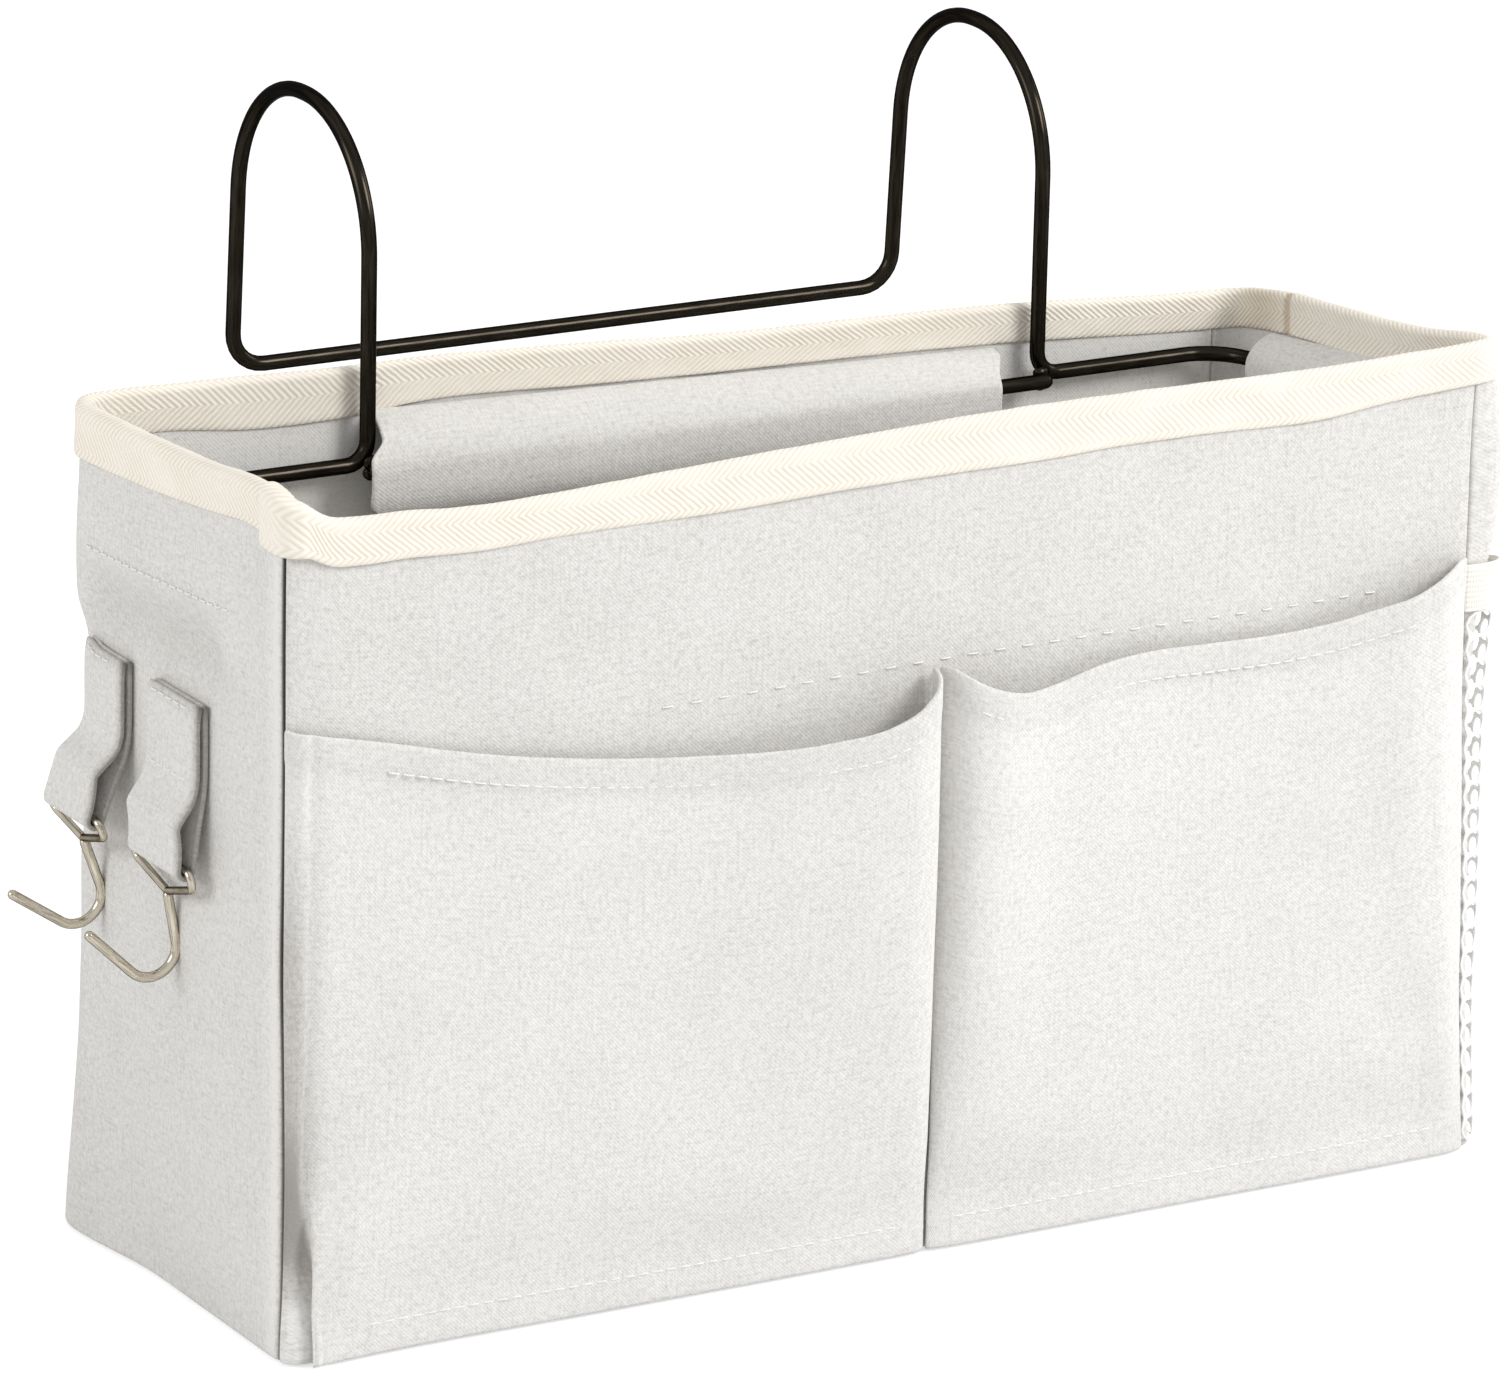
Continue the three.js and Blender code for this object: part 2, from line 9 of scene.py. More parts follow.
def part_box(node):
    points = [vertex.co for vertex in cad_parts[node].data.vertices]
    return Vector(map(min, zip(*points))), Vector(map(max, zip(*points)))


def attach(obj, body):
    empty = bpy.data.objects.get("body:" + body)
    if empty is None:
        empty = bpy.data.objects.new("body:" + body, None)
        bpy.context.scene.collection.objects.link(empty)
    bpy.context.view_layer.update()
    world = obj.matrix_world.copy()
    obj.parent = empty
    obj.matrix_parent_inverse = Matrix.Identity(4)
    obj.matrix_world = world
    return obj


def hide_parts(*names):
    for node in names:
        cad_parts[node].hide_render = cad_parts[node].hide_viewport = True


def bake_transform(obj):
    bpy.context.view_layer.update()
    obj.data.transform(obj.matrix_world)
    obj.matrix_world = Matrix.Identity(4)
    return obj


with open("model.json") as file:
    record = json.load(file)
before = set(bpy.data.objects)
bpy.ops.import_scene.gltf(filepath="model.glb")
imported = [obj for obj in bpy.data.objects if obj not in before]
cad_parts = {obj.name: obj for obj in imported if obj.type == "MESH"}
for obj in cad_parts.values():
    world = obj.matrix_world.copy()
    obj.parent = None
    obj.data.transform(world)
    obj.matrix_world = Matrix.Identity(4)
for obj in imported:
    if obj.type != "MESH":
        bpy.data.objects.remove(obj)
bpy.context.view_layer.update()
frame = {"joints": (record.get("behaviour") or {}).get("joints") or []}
MM = 0.001


# Camera: a long lens that stands in front of the caddy, to its left and a little above it, and is rolled
# by about a degree. All places and sizes in this file are in millimetres, unless a line says otherwise.
camera_target = Vector((-5.0, 8.6, 129.7))
camera_distance = 2252
camera_turn = math.radians(30.45)
camera_tilt = math.radians(17.18)
camera_roll = math.radians(1.31)
camera_lens = 216


def in_scene(name, data):
    """A new object, linked to the scene."""
    thing = bpy.data.objects.new(name, data)
    bpy.context.scene.collection.objects.link(thing)
    return thing


def place_camera():
    forward = Vector((
        math.sin(camera_turn) * math.cos(camera_tilt),
        math.cos(camera_turn) * math.cos(camera_tilt),
        -math.sin(camera_tilt),
    ))
    level = Vector((math.cos(camera_turn), -math.sin(camera_turn), 0))
    upright = level.cross(forward)
    side = level * math.cos(camera_roll) + upright * math.sin(camera_roll)
    top = upright * math.cos(camera_roll) - level * math.sin(camera_roll)
    lens = bpy.data.cameras.new("camera")
    lens.lens = camera_lens
    camera = in_scene("camera", lens)
    turned = Matrix((side, top, -forward)).transposed().to_4x4()
    spot = (camera_target - forward * camera_distance) * MM
    camera.matrix_world = Matrix.Translation(spot) @ turned
    bpy.context.scene.camera = camera


place_camera()


# Light: a white studio with one large soft lamp high in front on the right, weaker ones on both sides,
# and a pale floor that keeps a soft shadow.
lamps = {
    "key_lamp": ((950, -1500, 1450), 26.5),
    "fill_lamp": ((-1750, 150, 850), 9.5),
    "side_lamp": ((1900, -250, 900), 9),
}
lamp_size = 1000
room_light = 0.64
floor_size = 12000
floor_colour = (0.8, 0.8, 0.8, 1)
floor_glow = 0.655
floor_shade = (0.55, 0.55, 0.55, 1)


def soft_lamp(name, place, watts):
    lamp = bpy.data.lights.new(name, "AREA")
    lamp.shape = "DISK"
    lamp.size = lamp_size * MM
    lamp.energy = watts
    holder = in_scene(name, lamp)
    holder.location = Vector(place) * MM
    toward = Vector((0, 0, camera_target.z * MM)) - holder.location
    holder.rotation_euler = toward.to_track_quat("-Z", "Y").to_euler()


def feed(tree, socket, value):
    """Joins a socket to another node's output, or sets it to a plain value."""
    if isinstance(value, bpy.types.NodeSocket):
        tree.links.new(value, socket)
    else:
        socket.default_value = value


def node_output(tree, kind, *values, operation=None, **named):
    """The first output of a new node, whose first sockets and named sockets are fed."""
    node = tree.nodes.new("ShaderNode" + kind)
    if operation:
        node.operation = operation
    for socket, value in zip(node.inputs, values):
        feed(tree, socket, value)
    for name, value in named.items():
        feed(tree, node.inputs[name], value)
    return node.outputs[0]


def math_node(tree, operation, *values):
    return node_output(tree, "Math", *values, operation=operation)


def seen_directly(tree):
    """An output that is 1 for rays from the camera and through glass, and 0 for light and mirrors."""
    paths = tree.nodes.new("ShaderNodeLightPath").outputs
    return math_node(tree, "MAXIMUM", paths["Is Camera Ray"], paths["Is Transmission Ray"])


def white_room():
    world = bpy.data.worlds.new("studio")
    bpy.context.scene.world = world
    world.use_nodes = True
    tree = world.node_tree
    tree.nodes.clear()
    light = node_output(tree, "Background", (1, 1, 1, 1), room_light)
    wall = node_output(tree, "Background", (1, 1, 1, 1), 1)
    mix = node_output(tree, "MixShader", seen_directly(tree), light, wall)
    feed(tree, tree.nodes.new("ShaderNodeOutputWorld").inputs[0], mix)


def new_mesh(name, points, faces, lies=()):
    """A mesh from points in metres; the lies place each corner of its faces on the weave."""
    mesh = bpy.data.meshes.new(name)
    mesh.from_pydata([tuple(p) for p in points], [], faces)
    if len(lies):
        flat = np.array(lies, dtype=np.float32).reshape(-1)
        mesh.uv_layers.new(name="weave").data.foreach_set("uv", flat)
    return mesh


def pale_floor():
    half = floor_size / 2 * MM
    corners = [(-half, -half, 0), (half, -half, 0), (half, half, 0), (-half, half, 0)]
    mesh = new_mesh("floor", corners, [(0, 1, 2, 3)])
    floor = in_scene("floor", mesh)
    paint = bpy.data.materials.new("floor_paint")
    paint.use_nodes = True
    tree = paint.node_tree
    tree.nodes.clear()
    bounce = node_output(tree, "BsdfDiffuse", floor_colour)
    glow = node_output(tree, "Emission", Strength=floor_glow)
    seen = node_output(tree, "AddShader", glow, node_output(tree, "BsdfDiffuse", floor_shade))
    mix = node_output(tree, "MixShader", seen_directly(tree), bounce, seen)
    feed(tree, tree.nodes.new("ShaderNodeOutputMaterial").inputs[0], mix)
    mesh.materials.append(paint)


bpy.context.scene.view_settings.view_transform = "Standard"
for lamp_name, (lamp_place, lamp_watts) in lamps.items():
    soft_lamp(lamp_name, lamp_place, lamp_watts)
white_room()
pale_floor()


# Bag walls: four panels of cotton and linen canvas, sewn into one soft box. The front and back are
# flat, the sides wrap the corners, and the front's left edge lies tucked under the left side. The rim
# sags towards the back corners, and the straps' stitches pull the left wall flat behind them.
base_low, base_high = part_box("bottom_panel")
bag_length = (base_high.x - base_low.x) / MM
bag_depth = (base_high.y - base_low.y) / MM
bag_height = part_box("rim_binding")[1].z / MM
front_corner = 5
back_corner = 9
wall_cloth = 2
wall_foot = 0.4
wall_top = bag_height - 1.5
back_left_sag = 2.5
back_right_sag = 12.5
sag_foot = 2.3
seam_gap = 0.02
left_seam_wrap = 5.8
left_seam_gap = 0.75
tucked_under = 1.9
column_step = 4.5
row_step = 5
seam_steps = (0, 0.4, 0.8, 1.3, 1.6, 1.9, 2.2, 2.6, 3, 4)
shallow_tuck = 0.5
deep_tuck = 3
foot_radius = 1.4
seam_roll = 3.2
dent_depth = 3.5
# Painted shade in the hollow below the left sleeve.
hollow_shade = 0.7
hollow_heights = (153, 166, 168, 181)
crease_slant = 0.5
# Painted light: the inside faces of the walls are made lighter.
painted_inside_light = 0.7
# Painted shade in the slits between walls, up to near black.
slit_shade = 4.6
# A painted highlight on the left wall's rolled end, beside the slit.
ridge_highlight = 1.2
bellies = (0.8, 1.2, 0.9, 1.0)
seam_crest = 1.4
fold_height = 0.8
pit_depth = 2.6
wall_waves = ((0.55, 42, (1, 1, 1)), (0.28, 15, (1, 1, 1.8)))
strap_press = 0.25
corner_press = 1.9
press_heights = (100, 116, 155.5, 164)
canvas_colour = (0.79, 0.775, 0.75, 1)
# The slubs' colour, which is also the colour that painted shade mixes towards.
slub_and_shade_colour = (0.42, 0.40, 0.375, 1)
# A near-black painted shade for slits and the deepest folds.
groove_shade_colour = (0.03, 0.028, 0.025, 1)
thread_pitch = 1.05
weave_shift = (0.37, 0.23)
piece_count = 0


def smooth_step(x, low, high):
    t = np.clip((np.asarray(x, float) - low) / (high - low), 0, 1)
    return t * t * (3 - 2 * t)


def between(x, a, b, c, d):
    """Rises from 0 at a to 1 at b and falls from 1 at c to 0 at d."""
    return smooth_step(x, a, b) * smooth_step(-x, -d, -c)


def hump(x, centre, width):
    return np.exp(-(((np.asarray(x, float) - centre) / width) ** 2))


def eased(x, table, column=1):
    """A smooth curve through a table's first column and another one, flat beyond its ends."""
    table = np.array(table, float)
    xs, ys = table[:, 0], table[:, column]
    slopes = np.gradient(ys, xs)
    x = np.clip(x, xs[0], xs[-1])
    i = np.clip(np.searchsorted(xs, x) - 1, 0, len(xs) - 2)
    span = xs[i + 1] - xs[i]
    t = (x - xs[i]) / span
    start = ys[i] * (1 + 2 * t) * (1 - t) ** 2 + slopes[i] * span * t * (1 - t) ** 2
    end = ys[i + 1] * t * t * (3 - 2 * t) + slopes[i + 1] * span * t * t * (t - 1)
    return start + end


def cloth_noise(points, size, stretch=(1, 1, 1)):
    """Soft unevenness from -1 to 1, with lumps of a size in millimetres."""
    flat = (points / (np.array(stretch) * size)).reshape(-1, 3)
    values = [noise.noise(Vector(p)) for p in flat]
    return np.array(values).reshape(points.shape[:-1])


def waviness(points, waves):
    """The sum of waves given as a height, a size and how far they stretch each way."""
    return sum(height * cloth_noise(points, size, stretch) for height, size, stretch in waves)


def spread(length, step, fine=()):
    """Places from 0 to a length, one step apart, with fine steps in from both ends."""
    count = max(2, round(length / step))
    ends = [*fine, *(length - f for f in fine)]
    middle = [i * length / count for i in range(count + 1)]
    reach = max(fine, default=0)
    kept = [m for m in middle if reach + step / 2 < m < length - reach - step / 2]
    return np.array(sorted(set([0, length] + ends + kept)))


def face_directions(grid):
    along = np.gradient(grid, axis=0)
    across = np.gradient(grid, axis=1)
    normal = np.cross(along, across)
    return normal / np.maximum(np.linalg.norm(normal, axis=2, keepdims=True), 1e-9)


def run_lengths(grid, axis):
    steps = np.linalg.norm(np.diff(grid, axis=axis), axis=2).mean(axis=1 - axis)
    return np.concatenate([[0], np.cumsum(steps)])


def make_object(name, mesh, material, slot, body="root", replaces=True):
    piece = in_scene(name, mesh)
    mesh.materials.append(material)
    for polygon in mesh.polygons:
        polygon.use_smooth = True
    if body:
        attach(piece, body)
    if replaces:
        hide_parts(name)
    return piece


def rounded_off(piece):
    """Rounds a mesh off with one step of subdivision, after what other modifiers it has."""
    piece.modifiers.new("rounding", "SUBSURF").levels = 1
    bpy.context.view_layer.update()
    settled = piece.evaluated_get(bpy.context.evaluated_depsgraph_get())
    mesh = bpy.data.meshes.new_from_object(settled)
    piece.modifiers.clear()
    piece.data = mesh
    return piece


def cloth_piece(name, grid, thickness, material, slot, tone=None, inside_light=0, **placing):
    """A closed sheet of cloth from the grid of its outer face, with its weave laid out in metres."""
    global piece_count
    piece_count += 1
    columns, rows = grid.shape[:2]
    back = grid - face_directions(grid) * thickness
    points = np.concatenate([grid.reshape(-1, 3), back.reshape(-1, 3)]) * MM
    half = columns * rows
    u = run_lengths(grid, 0) * MM + weave_shift[0] * piece_count
    v = run_lengths(grid, 1) * MM + weave_shift[1] * piece_count
    faces = []
    for i in range(columns - 1):
        for j in range(rows - 1):
            a = i * rows + j
            faces.append((a, a + rows, a + rows + 1, a + 1))
            faces.append((half + a, half + a + 1, half + a + rows + 1, half + a + rows))
    rim = [i * rows for i in range(columns)]
    rim += [(columns - 1) * rows + j for j in range(1, rows)]
    rim += [i * rows + rows - 1 for i in range(columns - 2, -1, -1)]
    rim += [j for j in range(rows - 2, 0, -1)]
    for here, there in zip(rim, rim[1:] + rim[:1]):
        faces.append((here, half + here, half + there, there))
    corner = np.array(faces).reshape(-1) % half
    mesh = new_mesh(name, points, faces, np.stack([u[corner // rows], v[corner % rows]], axis=1))
    # The inside face carries the tone less a share of painted light, so it is lighter.
    if tone is not None:
        tones = np.concatenate([tone.reshape(-1), tone.reshape(-1) - inside_light])
        mesh.attributes.new("tone", "FLOAT", "POINT").data.foreach_set("value", tones.astype(np.float32))
    return rounded_off(make_object(name, mesh, material, slot, **placing))


def mixed_colour(tree, share, first, second):
    """A mix of two colours, which go in at the mix node's inputs 6 and 7."""
    node = tree.nodes.new("ShaderNodeMix")
    node.data_type = "RGBA"
    for place, value in ((0, share), (6, first), (7, second)):
        feed(tree, node.inputs[place], value)
    return node.outputs[2]


def uneven(tree, u, v, along, across, detail=2.0, roughness=0.5):
    """Noise with lumps of one length along the weave's first direction and another across it."""
    u = math_node(tree, "DIVIDE", u, along * MM)
    v = math_node(tree, "DIVIDE", v, across * MM)
    place = node_output(tree, "CombineXYZ", u, v)
    return node_output(tree, "TexNoise", place, Scale=1, Detail=detail, Roughness=roughness)


def ridges(tree, run, pitch):
    """A wave that repeats once in each pitch."""
    return math_node(tree, "SINE", math_node(tree, "MULTIPLY", run, 2 * math.pi / (pitch * MM)))


def point_tone_and_shade(tree):
    """The tone that a cloth piece's points carry: painted shade and painted light, and the pockets'
    darker hems.
    """
    node = tree.nodes.new("ShaderNodeAttribute")
    node.attribute_name = "tone"
    return node.outputs["Fac"]


def contrast(tree, value, low, high):
    return node_output(tree, "MapRange", value, low, high)


def bumped(tree, shader, height, strength, depth):
    bump = node_output(tree, "Bump", Strength=strength, Distance=depth * MM, Height=height)
    tree.links.new(bump, shader.inputs["Normal"])


def painted(tree, shader, share, first, second):
    tree.links.new(mixed_colour(tree, share, first, second), shader.inputs["Base Color"])


def new_finish(name, **settings):
    """A material with its node tree, its shader and the two weave directions in metres."""
    finish = bpy.data.materials.new(name)
    finish.use_nodes = True
    tree = finish.node_tree
    shader = tree.nodes["Principled BSDF"]
    for socket, value in settings.items():
        shader.inputs[socket.replace("_", " ")].default_value = value
    lie = tree.nodes.new("ShaderNodeUVMap")
    lie.uv_map = "weave"
    parts = tree.nodes.new("ShaderNodeSeparateXYZ")
    tree.links.new(lie.outputs[0], parts.inputs[0])
    return finish, tree, shader, parts.outputs[0], parts.outputs[1]


def woven_canvas(name, colour, thin_and_shade_colour):
    """Plain weave with uneven yarns: short thick and thin places both ways, and a few long slubs. The
    points' tone mixes in painted shade and painted light, and tones above 2 a near-black painted shade.
    """
    finish, tree, shader, u, v = new_finish(
        name, Roughness=0.92, Sheen_Weight=0.1, Sheen_Roughness=0.6, Specular_IOR_Level=0.15,
    )
    weave = math_node(tree, "MULTIPLY", ridges(tree, u, thread_pitch), ridges(tree, v, thread_pitch))
    weft_yarn = uneven(tree, u, v, 2.1, 0.85, roughness=0.65)
    warp_yarn = uneven(tree, u, v, 0.8, 2.3, roughness=0.65)
    slub = uneven(tree, u, v, 9, 0.7, detail=1)
    rib = uneven(tree, u, v, 0.8, 26, detail=1)
    clouds = uneven(tree, u, v, 24, 19, detail=3)
    tone = point_tone_and_shade(tree)
    thick_and_thin = contrast(tree, warp_yarn, 0.42, 0.74)
    thick_and_thin = math_node(tree, "ADD", contrast(tree, weft_yarn, 0.42, 0.74), thick_and_thin)
    shade = math_node(tree, "MULTIPLY", thick_and_thin, 0.31)
    # The points' tone adds painted shade, or painted light where it is below 0.
    layers = (
        (contrast(tree, slub, 0.55, 0.8), 0.16), (contrast(tree, rib, 0.5, 0.85), 0.12), (weave, -0.05),
        (contrast(tree, clouds, 0.3, 0.7), 0.08), (tone, 0.3),
    )
    for layer, share in layers:
        shade = math_node(tree, "MULTIPLY_ADD", layer, share, shade)
    plain = mixed_colour(tree, shade, colour, thin_and_shade_colour)
    # Tones from 2 to 5 go towards a near-black painted shade.
    painted(tree, shader, contrast(tree, tone, 2, 5), plain, groove_shade_colour)
    height = math_node(tree, "MULTIPLY_ADD", weave, 0.35, math_node(tree, "ADD", weft_yarn, warp_yarn))
    bumped(tree, shader, height, 0.6, 0.18)
    return finish


canvas = woven_canvas("canvas", canvas_colour, slub_and_shade_colour)


def outline_table():
    """The bag's outline seen from above: places, outward directions and the length run so far."""
    half_length, half_depth = bag_length / 2, bag_depth / 2
    places, outs = [], []
    corners = (
        (half_length - front_corner, front_corner - half_depth, front_corner, -90),
        (half_length - back_corner, half_depth - back_corner, back_corner, 0),
        (back_corner - half_length, half_depth - back_corner, back_corner, 90),
        (front_corner - half_length, front_corner - half_depth, front_corner, 180),
    )
    places.append((front_corner - half_length, -half_depth))
    outs.append((0, -1))
    for x, y, radius, start in corners:
        for angle in np.radians(np.linspace(start, start + 90, 25)):
            out = (math.cos(angle), math.sin(angle))
            places.append((x + radius * out[0], y + radius * out[1]))
            outs.append(out)
    places, outs = np.array(places), np.array(outs)
    steps = np.linalg.norm(np.diff(places, axis=0), axis=1)
    return places, outs, np.concatenate([[0], np.cumsum(steps)])


outline_places, outline_outs, outline_runs = outline_table()
girth = outline_runs[-1]
corner_arc = math.pi / 2
front_run = bag_length - 2 * front_corner
side_run = bag_depth - front_corner - back_corner
right_end = front_run + corner_arc * (front_corner + back_corner) + side_run
back_end = right_end + bag_length - 2 * back_corner
left_start = back_end + corner_arc * back_corner


def on_outline(s):
    columns = (*outline_places.T, *outline_outs.T)
    x, y, out_x, out_y = (np.interp(s, outline_runs, column, period=girth) for column in columns)
    size = np.hypot(out_x, out_y)
    return x, y, out_x / size, out_y / size


def sag(x, y, z):
    right = np.clip(x / bag_length + 0.5, 0, 1)
    behind = np.clip(y / bag_depth + 0.5, 0, 1)
    height = np.clip((z - sag_foot) / (bag_height - sag_foot), 0, None)
    return (back_left_sag + (back_right_sag - back_left_sag) * right) * behind * height


# How far the rim waves up or down along its run. It peaks before the front left corner and dips after it.
rim_waves = (
    (0, -0.8), (3, -2.6), (6, -4), (12, -4.8), (18, -5.1), (27, -5.2), (36, -5.8), (45, -6.2), (65, -5.7),
    (85, -4.8), (105, -3.7), (130, -2.5), (156, -1.4), (184, -0.3), (205, 0), (300, 0.1), (323, 0.9),
    (338, 1.6), (363, 0.1), (393, 0.6), (424, 1.4), (441, 0.5), (456, -0.7), (466, -0.7), (512, 0.8),
    (614, 0.5), (645, 1.2), (665, 1.6), (691, 1.7), (713, 1), (735, 0.9), (775, 0.6), (792, 0.4),
    (824, 0.4), (860, 1.3), (889, 2.4), (896, 1.3), (900.5, 0), (904, -0.8),
)


def rim_lift(s):
    return eased(np.mod(s, girth), rim_waves)


# How far the two corners that the eye meets lean out, by height above the base.
back_left_lean = (
    (0, 4.2), (12, 3.6), (34, 2.1), (54, 0.5), (70, 0), (110, -0.4), (128, -1.8), (142, -2.2), (156, 0.2),
    (164, 0.8), (180, 1.3), (200, 0.5), (215, 0),
)
front_right_lean = (
    (0, 5.5), (15, 4.5), (35, 3), (45, 2.4), (60, 2), (80, 1.2), (100, 0.4), (133, -1.2), (160, -2),
    (190, -2), (206, -1), (215, 0),
)
front_right_puff = ((0, 0), (60, 0), (130, 0.8), (150, 3), (162, 6.6), (196, 6.8), (207, 4), (215, 1))


def hollow(s, z):
    """Where the left wall caves in below its sleeve, from 0 to 1, up to a slanting crease."""
    slanted = s + (z - hollow_heights[1]) * crease_slant
    before_crease = 1 - smooth_step(slanted, left_start + 68, left_start + 80)
    return smooth_step(s, left_start, left_start + 14) * before_crease * between(z, *hollow_heights)


def lean_out(s, z):
    """How far the back left corner, which the eye meets, leans out."""
    before = girth - corner_arc * front_corner - s
    near = smooth_step(s, back_end - 60, back_end)
    return eased(z, back_left_lean) * near * smooth_step(before, 62, 104)


def swell(s, z):
    """How far the cloth stands out from the plain box: its belly, dents and the strain of its seams."""
    s, z = np.broadcast_arrays(np.mod(s, girth), np.asarray(z, float))
    before = girth - corner_arc * front_corner - s
    left = smooth_step(s, left_start + 4, left_start + 40) * smooth_step(before, 4, 30)
    right = between(s, front_run + 4, front_run + 30, right_end - 45, right_end - 12)
    front = between(s, 6, 60, front_run - 60, front_run - 6)
    behind = between(s, right_end + 6, right_end + 70, back_end - 70, back_end - 6)
    shape = sum(belly * wall for belly, wall in zip(bellies, (left, right, front, behind)))
    shape = shape * np.sin(np.pi * np.clip(z / bag_height, 0, 1))
    corner = np.where(s < 20, -s - corner_arc * front_corner, before)
    roll = seam_crest * smooth_step(corner, -2, 11) - seam_roll * (1 - smooth_step(corner, -3, 10))
    roll = roll * smooth_step(-s, -girth, -left_start)
    front_roll = -seam_roll * (1 - smooth_step(s, -corner_arc * front_corner, 5)) * (s < 20)
    roll = np.where(s > left_start, roll, front_roll) * (1 - 0.6 * smooth_step(z, 188, 206))
    dent = -dent_depth * hollow(s, z)
    fold = fold_height * hump(s - (z - 100) * 0.05, left_start + 44, 7) * smooth_step(-z, -118, -80)
    near_seam = np.where(s < 60, s, s - girth)
    pit = -pit_depth * hump(near_seam, 1, 7) * (1 - smooth_step(z, 36, 110)) * smooth_step(z, -2, 16)
    return shape + roll + dent + fold + pit


def shift_right(x, y, z):
    """How far the front right corner leans and puffs out along the front."""
    near_front = smooth_step(-y, 5, 50)
    lean = eased(z, front_right_lean) * smooth_step(x, 110, 165)
    puff = eased(z, front_right_puff) * smooth_step(x, 163.5, 169.5)
    return (lean + puff) * near_front


def drawn_in(y):
    """How far the rear strap and its hook are drawn in, where the wall turns at the back corner."""
    return smooth_step(y, bag_depth / 2 - 24, bag_depth / 2 - 10)


def bag_surface(s, z, rough=1.0):
    """Points of the bag's outer face for runs s round it and cut heights z, in millimetres."""
    s, z = np.broadcast_arrays(np.asarray(s, float), np.asarray(z, float))
    x, y, out_x, out_y = on_outline(s)
    waves = waviness(np.stack([x, y, z], axis=-1), wall_waves)
    below = np.clip(foot_radius - z, 0, None)
    foot = foot_radius - np.sqrt(np.clip(foot_radius**2 - below**2, 0, None))
    out = swell(s, z) * smooth_step(z, -2, 30) + lean_out(np.mod(s, girth), z) - foot
    out = out + rough * waves * smooth_step(z, 0, 25)
    pressed = smooth_step(-x, 140, 164) * smooth_step(y, -36, -22) * between(z, *press_heights)
    out = out - pressed * np.clip(out + strap_press + corner_press * drawn_in(y), 0, None)
    height = z - sag(x, y, z) + rim_lift(s) * smooth_step(z, 110, 200)
    return np.stack([x + out_x * out + shift_right(x, y, z), y + out_y * out, height], axis=-1)


def wall_panel(name, start, end, start_tuck=shallow_tuck, end_tuck=shallow_tuck, under=0, slit_shade_and_highlight=0):
    """One wall. Its seams turn in by their tucks; a strip at its start can lie under its neighbour."""
    runs = start + spread(end - start, column_step, seam_steps)
    heights = wall_foot + spread(wall_top - wall_foot, row_step, (1, 2, 3.2))
    grid = bag_surface(runs[:, None], heights[None, :])
    tuck = end_tuck * hump(runs, end, 1.1)
    if under:
        tuck = tuck + start_tuck * (1 - smooth_step(runs - start, under, under + 0.8))
    else:
        tuck = tuck + start_tuck * hump(runs, start, 1.1)
    grid = grid - face_directions(grid) * tuck[:, None, None]
    # Painted shade: the strip tucked under its neighbour and the left panel's end darken as the slit
    # between them.
    dark = (1 - smooth_step(runs - start, under, under + 0.6)) * (under > 0)
    dark = slit_shade * (dark + slit_shade_and_highlight * hump(runs, end, 0.5))
    tone = dark[:, None] * (1 - 0.4 * (1 - smooth_step(heights, 40, 110)))[None, :]
    # Painted highlight: a lighter band just before the left panel's end, where its rolled edge catches
    # the light.
    tone = tone - slit_shade_and_highlight * ridge_highlight * hump(runs, end - 2.6, 1.4)[:, None]
    # Painted shade in the hollow below the left sleeve.
    tone = tone + hollow_shade * hollow(runs[:, None], heights[None, :])
    # The walls' inside faces are painted lighter.
    cloth_piece(name, grid, wall_cloth, canvas, "canvas", tone, painted_inside_light)


left_run = girth - left_seam_wrap - left_seam_gap
front_start = -left_seam_wrap - tucked_under
wall_panel("front_panel", front_start, front_run, deep_tuck, 0.25, under=tucked_under - 0.4)
wall_panel("right_panel", front_run + seam_gap, right_end, start_tuck=0.15)
wall_panel("back_panel", right_end + seam_gap, back_end)
wall_panel("left_panel", back_end + seam_gap, left_run, slit_shade_and_highlight=1)


# Bottom: one layer of the same canvas, sewn to the foot of the walls. A stiff grey board lies loose on it
# and keeps the foot flat and its edges straight.
bottom_inset = 1.6
bottom_cloth = 1.4
board_inset = 3.2
board_colour = (0.40, 0.385, 0.36, 1)


def flat_layer(name, inset, low, high, material, slot):
    xs = spread(bag_length - 2 * inset, 12, (0.6, 1.6, 3, 5, 8)) - bag_length / 2 + inset
    reach = np.abs(xs) - (bag_length / 2 - inset)
    edges = []
    for radius in (front_corner, back_corner):
        turn = max(radius - inset, 1)
        inside = np.clip(reach + turn, 0, turn)
        edges.append(bag_depth / 2 - inset - (turn - np.sqrt(turn**2 - inside**2)))
    share = spread(1, 0.09, (0.01, 0.03))
    y = edges[1][:, None] * (1 - share) - edges[0][:, None] * share
    x = np.broadcast_to(xs[:, None], y.shape)
    cloth_piece(name, np.stack([x, y, np.full(y.shape, low)], axis=-1), high - low, material, slot)


def plain_finish(name, colour, roughness, grain, mottle):
    finish, tree, shader, u, v = new_finish(name, Roughness=roughness)
    specks = uneven(tree, u, v, grain, grain, 3.0, 0.6)
    painted(tree, shader, specks, colour, (*(c * (1 - mottle) for c in colour[:3]), 1))
    bumped(tree, shader, specks, 0.3, 0.1)
    return finish


board_finish = plain_finish("board", board_colour, 0.85, 0.4, 0.15)
board_low, board_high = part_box("base_board")
flat_layer("bottom_panel", bottom_inset, 0, bottom_cloth, canvas, "canvas")
flat_layer("base_board", board_inset, board_low.z / MM, board_high.z / MM, board_finish, "board")


